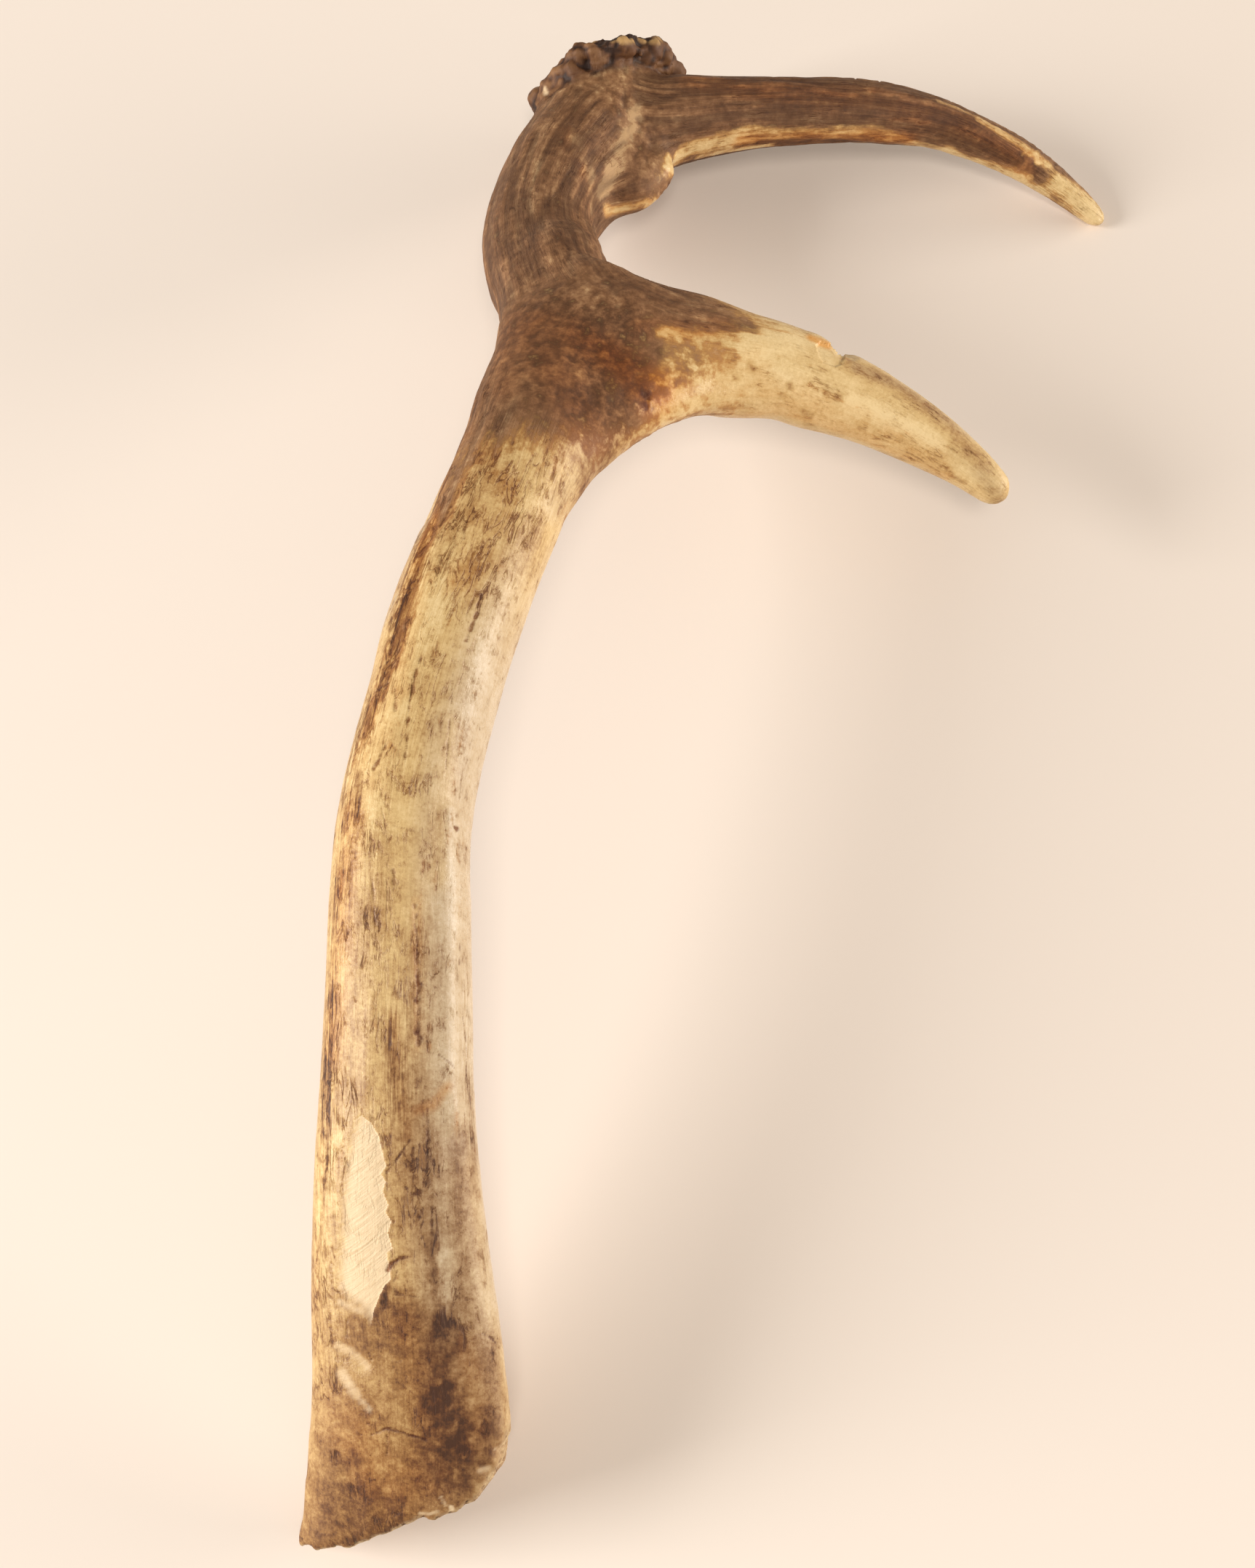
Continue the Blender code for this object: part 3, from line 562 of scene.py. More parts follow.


# Patches drawn on the photo: what the mask comes to there, how far the patch reaches, the line
# that it lies along, and how much of its reach is soft where that isn't the usual share.
usualSoft = 0.9
patches = {
    'brown': [
        (0.12, 10, [(856, 630), (800, 682), (760, 735)], 0.95),
        (0.75, 7, [(648, 600), (622, 660), (602, 715)], 0.95),
        (0.50, 4.4, [(596, 718), (570, 808), (536, 918)]),
        (0.40, 3.8, [(530, 937), (508, 987), (490, 1050)]),
        (0.22, 3.4, [(486, 1070), (474, 1150), (466, 1240)], 0.95),
        (0, 7, [(1030, 560), (1120, 545), (1200, 590), (1300, 660)], 0.8),
        (0, 7, [(1020, 520), (1120, 500), (1180, 540), (1280, 610), (1370, 680)], 0.8),
        (0.0, 6, [(1035, 472), (1120, 480), (1160, 510)], 0.7),
        (0.42, 6, [(915, 462), (960, 470), (1000, 474)], 0.95),
        (0.85, 3.0, [(890, 438), (950, 438), (1000, 441), (1036, 454)]),
        (0.15, 2.6, [(912, 458), (930, 460)]),
        (0.10, 3.0, [(962, 468), (1000, 474)]),
        (0.0, 3.0, [(1022, 484), (1040, 486)]),
        (0.62, 3.6, [(928, 490), (965, 496), (1008, 500)], 0.95),
        (0.5, 5, [(905, 560), (882, 566)], 1),
        (0.40, 8, [(985, 490), (990, 520), (985, 560)], 0.95),
        (0.12, 9, [(1010, 530), (950, 545), (915, 570)], 0.95),
        (0.45, 7, [(930, 495), (905, 520)], 0.95),
        (0.42, 2.0, [(1000, 572), (940, 574), (900, 580)], 0.95),
        (0.34, 4.5, [(905, 583), (872, 600)], 0.95),
        (0.85, 9, [(880, 480), (850, 530)], 0.95),
        (0.7, 5.0, [(900, 252), (917, 234), (930, 216)], 0.95),
        (0.15, 6.0, [(921, 228), (942, 206), (985, 194), (1030, 188)]),
        (0.40, 6.5, [(1030, 186), (1120, 184), (1198, 182), (1293, 206)], 0.95),
        (0.25, 3.0, [(960, 216), (1000, 206), (1060, 199)]),
        (0.10, 5.5, [(1303, 208), (1383, 241), (1430, 262)], 0.95),
        (0.42, 3.0, [(1290, 140), (1330, 156)], 1),
        (0.15, 3.6, [(1345, 164), (1400, 197), (1440, 228)], 1),
        (0.0, 6, [(1452, 250), (1470, 262), (1515, 300)], 1),
        (0.2, 3.4, [(834, 290), (870, 283), (904, 276)]),
        (0.6, 1.2, [(1110, 200), (1198, 194), (1290, 208)]),
    ],
    'pale': [
        (0.3, 4.5, [(945, 208), (975, 200), (1030, 192)]),
        (0.5, 3.0, [(834, 290), (870, 283), (904, 276)]),
        (0.1, 4, [(1060, 186), (1198, 176), (1293, 206)]),
        (0.2, 8, [(1440, 232), (1480, 265), (1515, 300)], 0.8),
        (1.4, 4.8, [(874, 150), (858, 196), (846, 225)], 1),
        (2.1, 4.4, [(840, 236), (826, 264)], 1),
        (0.9, 4.0, [(790, 190), (812, 240), (812, 290)], 0.95),
        (0.6, 3.0, [(745, 170), (735, 230), (730, 290)], 0.95),
        (0.8, 2.8, [(780, 66), (800, 56), (845, 54), (905, 56)]),
        (0.9, 5.5, [(1030, 480), (1060, 470), (1090, 468)], 0.7),
        (0.9, 3.0, [(1140, 488), (1150, 494)], 0.7),
        # painted highlight: the whitish gleam along the middle tine
        (1.3, 4.0, [(1174, 552), (1230, 576), (1290, 612)]),
        (0.5, 5, [(1340, 640), (1360, 664)]),
        (0.8, 4, [(648, 732), (628, 770), (604, 812), (585, 870)]),
        (0.3, 4, [(560, 900), (530, 980), (516, 1060), (508, 1130)]),
        (0.6, 6, [(560, 1130), (556, 1260)]),
        (0.6, 4, [(668, 860), (655, 960), (648, 1060), (645, 1200)]),
        # The next two strokes are painted highlight: the whitish gleam along the beam's ridge and the broad
        # sheen to its right.
        (0.9, 2.6, [(618, 1120), (622, 1300), (618, 1465)]),
        (0.5, 5, [(640, 1100), (646, 1300), (648, 1450)]),
        (0.1, 5, [(490, 1120), (482, 1250), (474, 1400), (468, 1500)]),
        (0.6, 4, [(600, 1380), (600, 1450)]),
        (0.9, 4, [(452, 1560), (440, 1700), (440, 1760)]),
        (0.5, 5, [(657, 1500), (664, 1600), (674, 1700), (687, 1800), (698, 1870)]),
    ],
    'soilAndShade': [
        (0.13, 15, [(660, 640), (645, 760)]),
        (0.07, 8, [(690, 700), (660, 820)]),
        # painted shade: the soft shadow of the middle tine and fork on the beam's right side
        (0.17, 7, [(738, 730), (716, 780)]),
        (0.08, 5, [(545, 860), (530, 930)]),
        (0.41, 6, [(638, 1580), (638, 1700), (646, 1790)]),
        (0.03, 9, [(600, 940), (590, 1060), (575, 1190)]),
        (0.12, 8, [(588, 1250), (590, 1340), (590, 1420)]),
        (0.21, 9, [(560, 1400), (565, 1480), (565, 1560)]),
        (0.21, 11, [(575, 1600), (580, 1740)]),
        (0.45, 15, [(545, 1825), (590, 1850)], 0.8),
        (0.28, 12, [(560, 1920), (560, 1990), (600, 2020)], 0.8),
        (0.32, 10, [(462, 1990), (480, 1960), (500, 1930)]),
        # painted shade in the crotch under the fork
        (0.28, 8, [(855, 590), (830, 640), (800, 690)], 0.95),
        (0.45, 14, [(470, 2060), (540, 2060), (590, 2030)], 0.8),
        (0.30, 8, [(512, 2016), (532, 2022)], 1),
        (0.40, 6, [(440, 2110), (500, 2110), (560, 2088)], 0.8),
        (0.36, 6, [(668, 1960), (668, 2000)]),
        (0.34, 6, [(668, 1860), (676, 1920)]),
        (0.18, 6, [(645, 1560), (655, 1700), (664, 1820)]),
        (0.02, 5, [(657, 1500), (664, 1600), (674, 1700), (687, 1800), (698, 1870)]),
        (0.10, 4, [(600, 690), (560, 800), (540, 870), (515, 950)], 0.8),
        (0.06, 6, [(480, 1100), (470, 1250), (458, 1400)]),
        (0.16, 6, [(505, 1250), (495, 1400), (490, 1500)]),
        (0.12, 5, [(450, 1500), (440, 1640), (436, 1760)]),
        (-0.14, 8, [(1040, 530), (1100, 545), (1150, 570)]),
        (-0.12, 6, [(1280, 620), (1340, 655)]),
        (0.06, 4, [(1355, 660), (1368, 678), (1372, 690)]),
        (0.15, 4.5, [(1160, 498), (1215, 520), (1260, 550), (1310, 590), (1350, 640)]),
        (0.12, 10, [(555, 1160), (550, 1250), (545, 1350)]),
        (0.10, 6, [(538, 1300), (532, 1400), (535, 1470)]),
    ],
    'rust': [
        (0.7, 3.0, [(573, 1526), (594, 1520), (614, 1494)], 0.95),
        (0.5, 6, [(777, 180), (800, 230), (812, 268)]),
        (0.9, 3.6, [(1073, 562), (1129, 578), (1190, 600), (1250, 626), (1300, 652)]),
        (0.45, 9, [(1000, 530), (1100, 545), (1200, 590), (1290, 640)]),
        (0.5, 4, [(1340, 690), (1372, 694)]),
        (0.5, 8, [(640, 1860), (650, 1920), (650, 1980)]),
        (0.55, 14, [(480, 1960), (520, 2040), (590, 2030)]),
        (0.5, 10, [(560, 1820), (580, 1880), (600, 1960)]),
        (0.6, 7, [(880, 450), (940, 455), (1000, 448)]),
        (0.42, 9, [(890, 530), (960, 520), (1040, 500)]),
        (0.5, 5, [(1000, 575), (1100, 560), (1170, 590)], 0.95),
        (0.95, 14, [(790, 470), (850, 500), (900, 540)], 0.95),
        (0.5, 9, [(640, 560), (610, 640)], 0.95),
        (0.5, 9, [(700, 440), (690, 540)], 0.95),
        (0.6, 18, [(730, 450), (770, 520), (800, 580)]),
        (0.7, 4, [(603, 700), (580, 760), (560, 815)]),
        (0.4, 5, [(545, 880), (520, 960), (500, 1040), (490, 1120)]),
        (0.6, 8, [(486, 1120), (476, 1220), (466, 1340), (458, 1450)]),
        (0.45, 12, [(690, 660), (660, 740), (640, 800)]),
        (0.35, 7, [(580, 800), (555, 900), (535, 1000), (520, 1080)]),
        (0.5, 3, [(540, 1400), (545, 1480), (560, 1560)]),
        (0.5, 3, [(573, 1240), (575, 1440)]),
        (0.8, 6, [(1020, 192), (1100, 188), (1250, 190)]),
        (0.7, 9, [(950, 110), (1080, 130), (1200, 135), (1330, 175), (1410, 225)]),
        (0.9, 3.2, [(1116, 466), (1136, 473)], 0.8),
        (0.6, 2.0, [(1158, 492), (1166, 496)]),
        (0.3, 5, [(450, 1500), (436, 1700), (430, 1850)]),
    ],
    'dusk': [
        (0.55, 5.0, [(604, 1845), (612, 1900)]),
        (0.95, 7.5, [(618, 1925), (626, 1960), (624, 2000)]),
        (0.85, 5.5, [(600, 1920), (606, 1970), (628, 2030)]),
        (0.5, 5, [(668, 1950), (676, 1975), (664, 2008)]),
        (0.42, 2.4, [(593, 1700), (594, 1740), (596, 1779), (601, 1830)], 0.95),
        (0.38, 2.6, [(540, 1406), (538, 1444), (543, 1483), (548, 1518), (556, 1560)], 0.95),
        (0.1, 3.0, [(588, 1262), (588, 1300), (594, 1330)], 0.95),
        (0.8, 1.5, [(531, 1768), (531, 1790)], 0.7),
        (0.5, 2.6, [(490, 2003), (492, 2006)]),
        (0.5, 4.0, [(456, 2084), (462, 2096)], 0.95),
        (0.6, 1.5, [(1085, 529), (1086, 532)]),
        (0.4, 1.6, [(1030, 500), (1036, 508)]),
        (0.4, 1.4, [(1073, 543), (1077, 546)]),
        (0.5, 1.6, [(1103, 565), (1113, 571)]),
        (0.4, 1.2, [(1303, 645), (1310, 655), (1325, 662)]),
        (0.4, 1.4, [(1149, 546), (1152, 548)]),
        (0.5, 1.3, [(1009, 518), (1012, 520)]),
        (0.4, 5, [(484, 1830), (500, 1846)], 0.95),
        (0.4, 8, [(745, 470), (765, 510)]),
        (0.45, 17, [(760, 430), (830, 480), (850, 540), (800, 590)]),
        (0.3, 9, [(756, 330), (766, 345)], 1),
        (0.5, 1.1, [(604, 690), (580, 757), (559, 820), (535, 900), (517, 965)]),
        (0.5, 0.9, [(560, 850), (540, 910), (524, 965)]),
        (0.2, 0.8, [(472, 1128), (467, 1190), (462, 1260), (458, 1330), (455, 1400)]),
        (0.5, 1.2, [(449, 1450), (446, 1511)]),
        (0.4, 1.0, [(455, 1540), (447, 1640), (440, 1720)]),
        (0.35, 3.0, [(620, 1815), (600, 1840)]),
    ],
    'mottle': [
        (1, 10, [(672, 680), (655, 740), (640, 800)], 0.7),
        (0.9, 8, [(700, 650), (690, 720)], 0.7),
        (0.5, 12, [(560, 1600), (575, 1700), (570, 1780)], 0.8),
        (0.35, 14, [(540, 1850), (540, 1950), (480, 2050), (560, 2050)], 0.8),
        (0.4, 9, [(980, 520), (1070, 535), (1150, 560), (1220, 610), (1310, 665)], 0.8),
        (0.45, 9, [(600, 900), (580, 1020), (560, 1130)]),
    ],
    'olive': [
        (0.5, 8, [(640, 1620), (648, 1720), (655, 1830)]),
        # painted shade: greys the crotch under the fork
        (0.3, 6, [(830, 622), (800, 650), (760, 700)]),
        (0.25, 3, [(1178, 506), (1240, 532), (1337, 604)], 0.8),
        (0.15, 4, [(1350, 650), (1368, 676)]),
        (0.35, 6, [(612, 1000), (606, 1100), (600, 1200)]),
        # painted highlight: greys and whitens the bone along the ridge, together with the pale stroke there
        (0.7, 2.6, [(618, 1120), (622, 1300), (618, 1465)]),
        (0.6, 2.2, [(574, 715), (545, 800), (515, 905)]),
    ],
    'streak': [
        (1, 5, [(620, 640), (590, 720), (560, 830), (530, 930), (505, 1010), (488, 1100)], 0.7),
        (0.9, 6, [(490, 1000), (480, 1100), (472, 1200), (460, 1330), (452, 1450), (449, 1560)]),
        (0.6, 6, [(500, 1150), (510, 1240), (515, 1300)]),
        (0.45, 2.6, [(573, 1230), (574, 1330), (575, 1440)]),
        (0.7, 4.5, [(540, 1400), (545, 1500), (555, 1560)]),
        (0.7, 4, [(640, 1350), (642, 1450), (646, 1560)], 0.8),
        (0.16, 10, [(580, 1560), (580, 1680), (590, 1800)], 0.8),
        (0.15, 8, [(560, 1130), (555, 1230)], 0.8),
        (0.25, 8, [(660, 680), (640, 780)], 0.8),
        (0.5, 7, [(450, 1600), (448, 1750), (450, 1900)]),
    ],
    'crossing': [
        (0.9, 20, [(830, 440), (830, 520), (840, 600)], 0.8),
        (0.5, 14, [(730, 420), (740, 540)]),
        (0.6, 12, [(960, 500), (940, 560)]),
        (0.5, 10, [(880, 180), (890, 230)]),
    ],
    'scrape': [
        (0.5, 2.4, [(466, 1850), (478, 1857), (490, 1864), (504, 1879)], 0.95),
        (0.6, 2.8, [(472, 1890), (480, 1902), (488, 1914)], 0.95),
        (0.5, 1.8, [(488, 1914), (498, 1926), (508, 1937)], 0.95),
        (0.5, 1.6, [(468, 1790), (482, 1796), (498, 1804)], 0.95),
        (0.55, 1.6, [(660, 2022), (672, 2019)], 0.95),
        (0.5, 1.2, [(681, 1993), (690, 1993)], 0.95),
        (0.55, 1.0, [(578, 2080), (590, 2081), (602, 2078)], 0.95),
        (0.9, 1.0, [(620, 2072), (621, 2076)]),
        (0.45, 1.0, [(606, 2058), (612, 2068)], 0.95),
        (0.6, 0.7, [(551, 2096), (554, 2097)]),
        # The next two are painted glints, not scrapes: a white glint between the burr's beads and one on the
        # beam's right side.
        (0.8, 2.0, [(749, 122), (751, 128)], 1),
        (0.4, 1.0, [(627, 1560), (632, 1580)]),
    ],
}


# Where the bark ends along each branch, and how far its end leans to the left and upper sides.
barkEnds = {
    'beam': {'along': (167, 197), 'left': 10, 'up': 6},
    'middle': {'along': (143, 190), 'left': 0, 'up': 8},
    'brow': {'along': (125, 160), 'left': 0, 'up': 6},
}
# How much of each mark a branch has where no patch is drawn.
plainMarks = {
    'streak': {'beam': 0.4, 'middle': 0.2, 'brow': 0.15},
    'mottle': {'beam': 0.35, 'middle': 0.3, 'brow': 0.2},
    'soilAndShade': {'beam': 0, 'middle': -0.10, 'brow': -0.05},
}
# The beam's sides: how strong each thing is, and the spans that it comes and goes over, round the beam
# from -1 to 1 and along it in millimetres.
beamSides = {
    'barkUnder': (0.7, (0.2, 0.8), (300, 400)),
    'calmEnd': (0.25, (365, 395)),
    # The next entry marks the right-facing side, made greyer and paler: partly the bone's own tone, partly
    # painted sheen.
    'greyAndSheen': ((0.05, 0.75), (195, 255)),
    'greyFades': (0.6, (380, 405)),
    'olive': 0.72,
    'pale': (0.12, 0.22),
    'fewerStreaks': 0.6,
    'soilUnder': (0.18, (0.1, 0.8)),
    'soilEnd': (0.16, (395, 425)),
    'soilLeft': (0.10, (0.1, 0.9)),
}
# The edges of the fine marks, in half widths of each.
markEdge = {
    'wobble': 1.3,  # the size of the bends in an edge, in millimetres
    'bend': 1.6,
    'core': 0.4,
    'fade': 1.6,
    'reach': 3,
}


def marksOn(skin, grain, onMiddle, onBrow, crossing):
    far = grain[:, 2]
    left = grain[:, 1] / grainShape['round']  # 1 on the side that the photo's left sees
    up = grain[:, 0] / grainShape['round']
    on = {'beam': np.clip(1 - onMiddle - onBrow, 0, 1), 'middle': onMiddle, 'brow': onBrow}
    onBeam, sides = on['beam'], beamSides
    masks = {name: np.zeros(len(far)) for name in ('brown', 'rust', 'dusk', 'line', 'swell')}
    masks['crossing'] = crossing
    for name, shares in plainMarks.items():
        masks[name] = sum(share * on[branch] for branch, share in shares.items())
    for branch, end in barkEnds.items():
        masks['brown'] += on[branch] * (1 - ease(far - end['left'] * left - end['up'] * up, *end['along']))
    strength, under, along = sides['barkUnder']
    underneath = onBeam * strength * ease(-up, *under) * (1 - ease(far, *along))
    masks['brown'] = np.maximum(masks['brown'], underneath)
    strength, along = sides['calmEnd']
    masks['streak'] -= strength * ease(far, *along) * onBeam
    # The right-facing side is made greyer and paler: partly the bone's own tone, partly painted sheen.
    across, along = sides['greyAndSheen']
    greyAndSheen = onBeam * ease(-left, *across) * ease(far, *along)  # the side that the photo's right sees
    strength, along = sides['greyFades']
    greyAndSheen *= 1 - strength * ease(far, *along)
    masks['olive'] = sides['olive'] * greyAndSheen
    masks['pale'] = sides['pale'][0] + sides['pale'][1] * greyAndSheen
    masks['streak'] *= 1 - sides['fewerStreaks'] * greyAndSheen
    for name, value in (('soilUnder', -up), ('soilEnd', far), ('soilLeft', left)):
        strength, span = sides[name]
        masks['soilAndShade'] += strength * onBeam * ease(value, *span)
    masks['scrape'] = scraped(skin)
    for name, strokes in patches.items():
        for value, reach, stroke, *soft in strokes:
            chosen, gap = skin.near(stroke, reach)
            share = 1 - ease(gap, reach * (1 - (soft or [usualSoft])[0]), reach)
            masks[name][chosen] += (value - masks[name][chosen]) * share
    edge = markEdge
    wobble = np.array([noise.noise(Vector(place) / edge['wobble']) for place in skin.places / mm])
    for half, value, stroke in fineMarks:
        chosen, gap = skin.near(stroke, half * edge['reach'])
        gap += half * edge['bend'] * wobble[chosen]
        share = 1 - ease(gap, half * edge['core'], half * edge['fade'])
        masks['line'][chosen] = np.maximum(masks['line'][chosen], value * share)
    for height, half, stroke in swells:
        chosen, gap = skin.near(stroke, half * 2)
        masks['swell'][chosen] += height * (1 - ease(gap, 0, half * edge['fade']))
    masks['chip'] = chipped(skin)
    masks['pale'] = np.maximum(masks['pale'], masks['chip'] * chipShape['pale'])
    masks['brown'] *= 1 - masks['chip']
    masks['raw'], masks['seal'], masks['ring'] = zones(skin.places, skin.ways)
    return masks


def inside(points, outline):  # which photo places lie inside an outline drawn on it
    x, y = points.T
    odd = np.zeros(len(points), bool)
    for (ax, ay), (bx, by) in zip(outline, outline[1:] + outline[:1]):
        if ay != by:
            crosses = ((ay > y) != (by > y)) & (x < (bx - ax) * (y - ay) / (by - ay) + ax)
            odd ^= crosses
    return odd


scrapeEdges = {
    'far': 12.0,  # no gap to an edge counts for more
    'sharp': (-0.25, 0.35),  # how the right edge rises
    'soft': (-1.6, 4.2),  # and the left one
}


def gapTo(skin, stroke, far):  # how far every vertex is from a stroke
    gaps = np.full(len(skin.places), float(far))
    chosen, gap = skin.near(stroke, far)
    gaps[chosen] = gap
    return gaps


def scraped(skin):
    outline = scrapePatch['left'] + scrapePatch['right'][::-1]
    facing = (skin.ways[:, 2] > 0) & (skin.places[:, 1] < 0)
    depth = np.where(inside(inPhoto(skin.places), outline) & facing, 1, -1)
    far = scrapeEdges['far']
    sharp = ease(depth * gapTo(skin, scrapePatch['right'], far), *scrapeEdges['sharp'])
    soft = ease(depth * gapTo(skin, scrapePatch['left'], far), *scrapeEdges['soft'])
    return np.minimum(sharp, soft)


def chipped(skin):  # the flake that is gone from the middle tine's far edge
    near = awayFrom(chipShape['at'], skin.places) < chipShape['reach']
    within = inside(inPhoto(skin.places), chipPatch) & near
    gaps = gapTo(skin, chipPatch + chipPatch[:1], chipShape['far'])
    return ease(np.where(within, 1, -1) * gaps, *chipShape['edge'])


# The relief: the sizes of its patterns, across and along the grain or all round, and how high each stands.
relief = {
    'groove': (2.6, 30),
    'fineGroove': (1.5, 18),
    'lump': 17,
    'knot': 2.6,
    'bead': 3.3,
    'beadCrumb': 1.6,
    'beadSwelling': 7,
    'pit': 1.5,
    'rough': 3.0,
    'shedPit': 2.1,
    'shedRough': 1.1,
    'from': 0.02,  # the least share of an end's own look that counts
}
reliefHeights = {
    'lump': 0.22,
    'groove': 0.34,
    'knot': 0.40,
    'boneGroove': 0.05,
    'bead': (1.1, -0.6, 0.45, 1.2),
    'pit': (-0.7, 0.45),
    'shed': (0.5, 0.2),
    'line': -0.15,
    'scrape': -0.22,
    'chip': -0.6,
}


def grainNoise(spot, size, shift=0):
    (x, y, z), (across, along) = spot, size
    return noise.noise(Vector((x / across + shift, y / across, z / along)))


def reliefOf(skin, grain, masks):  # how far each vertex stands out, and how hollow it lies
    rise, hollow = np.zeros(len(grain)), np.zeros(len(grain))
    high = reliefHeights
    crossing, ring, raw, seal = (masks[name] for name in ('crossing', 'ring', 'raw', 'seal'))
    bark = masks['brown'] * (1 - ring) * (1 - seal)
    for i, (spot, place) in enumerate(zip(grain, skin.places / mm)):
        place = Vector(place)
        groove = abs(grainNoise(spot, relief['groove'])) * 1.6 - 0.5
        depth = groove + 0.35 * grainNoise(spot, relief['fineGroove'], 31)
        depth *= max(0.0, 1 - 2.0 * crossing[i])
        knotty = noise.fractal(place / relief['knot'], 0.8, 2.1, 3) * min(1.0, 1.6 * crossing[i])
        rise[i] = high['lump'] * noise.noise(place / relief['lump'])
        rise[i] += bark[i] * (high['groove'] * depth + high['knot'] * knotty)
        rise[i] += (1 - bark[i]) * high['boneGroove'] * depth
        hollow[i] = bark[i] * min(1, max(0, 0.5 - 1.3 * depth - 0.7 * knotty))
        if ring[i] > relief['from']:
            bead = max(0.0, 1 - noise.voronoi(place / relief['bead'])[0][0] * 1.15) ** 0.7
            crumb = noise.noise(place / relief['beadCrumb'])
            swelling = noise.noise(place / relief['beadSwelling'])
            onBead, base, onCrumb, onSwelling = high['bead']
            rise[i] += ring[i] * (onBead * bead + base + onCrumb * crumb + onSwelling * swelling)
            hollow[i] += ring[i] * (0.75 - 1.2 * bead - 0.5 * crumb - 0.5 * swelling)
        if raw[i] > relief['from']:
            pit = max(0.0, 0.45 - noise.voronoi(place / relief['pit'])[0][0]) / 0.45
            onPit, onRough = high['pit']
            rise[i] += raw[i] * (onPit * pit + onRough * noise.noise(place / relief['rough']))
            hollow[i] += raw[i] * 1.2 * pit
        if seal[i] > relief['from']:
            gap = noise.voronoi(place / relief['shedPit'])[0][0]
            onPit, onRough = high['shed']
            rise[i] += seal[i] * (onPit * (0.5 - gap) + onRough * noise.noise(place / relief['shedRough']))
            hollow[i] += seal[i] * 0.8 * gap
    rise += masks['swell']
    for name in ('line', 'scrape', 'chip'):
        rise += high[name] * masks[name]
    return rise, np.clip(hollow, 0, 1)


# The skin's attributes, and what each holds in its three parts.
layers = {
    'stains': ('brown', 'rust', 'dusk'),
    'cover': ('pale', 'olive', 'scrape'),
    'marks': ('streak', 'mottle', 'line'),
    'ends': ('raw', 'seal', 'ring'),
    'relief': ('hollow', 'crossing', 'soilAndShade'),
}


def writeVectors(mesh, name, columns):
    layer = mesh.attributes.new(name, 'FLOAT_VECTOR', 'POINT')
    layer.data.foreach_set('vector', np.stack(columns, 1).astype(np.float32).ravel())


def dressSkin(thing):
    skin = Skin(thing)
    grain, onMiddle, onBrow, crossing = grainOf(skin.places / mm)
    masks = marksOn(skin, grain, onMiddle, onBrow, crossing)
    print('marks placed')
    rise, masks['hollow'] = reliefOf(skin, grain, masks)
    moved = skin.places + skin.ways * ((rise + skinShape['fill'])[:, None] * mm)
    thing.data.vertices.foreach_set('co', moved.ravel())
    thing.data.update()
    writeVectors(thing.data, 'grain', list(grain.T))
    for name, parts in layers.items():
        writeVectors(thing.data, name, [masks[part] for part in parts])
    for face in thing.data.polygons:
        face.use_smooth = True
    print('relief made', len(thing.data.vertices), 'vertices')


class Wire:  # one socket, so that shader maths reads as plain sums
    def __init__(self, paint, socket):
        self.paint, self.socket = paint, socket

    def maths(self, operation, *values):
        return self.paint.node('Math', {'operation': operation}, dict(enumerate(values)))

    def __add__(self, other):
        return self.maths('ADD', self, other)

    def __sub__(self, other):
        return self.maths('SUBTRACT', self, other)

    def __rsub__(self, other):
        return self.maths('SUBTRACT', other, self)

    def __mul__(self, other):
        return self.maths('MULTIPLY', self, other)

    def __truediv__(self, other):
        return self.maths('DIVIDE', self, other)

    __radd__ = __add__
    __rmul__ = __mul__

    def most(self, other):
        return self.maths('MAXIMUM', self, other)

    def least(self, other):
        return self.maths('MINIMUM', self, other)

    def size(self):
        return self.maths('ABSOLUTE', self)

    def between(self, low, high):  # 0 at low, 1 at high, and smooth between
        return self.paint.node('MapRange', {'interpolation_type': 'SMOOTHSTEP'},
                               {'Value': self, 'From Min': low, 'From Max': high})


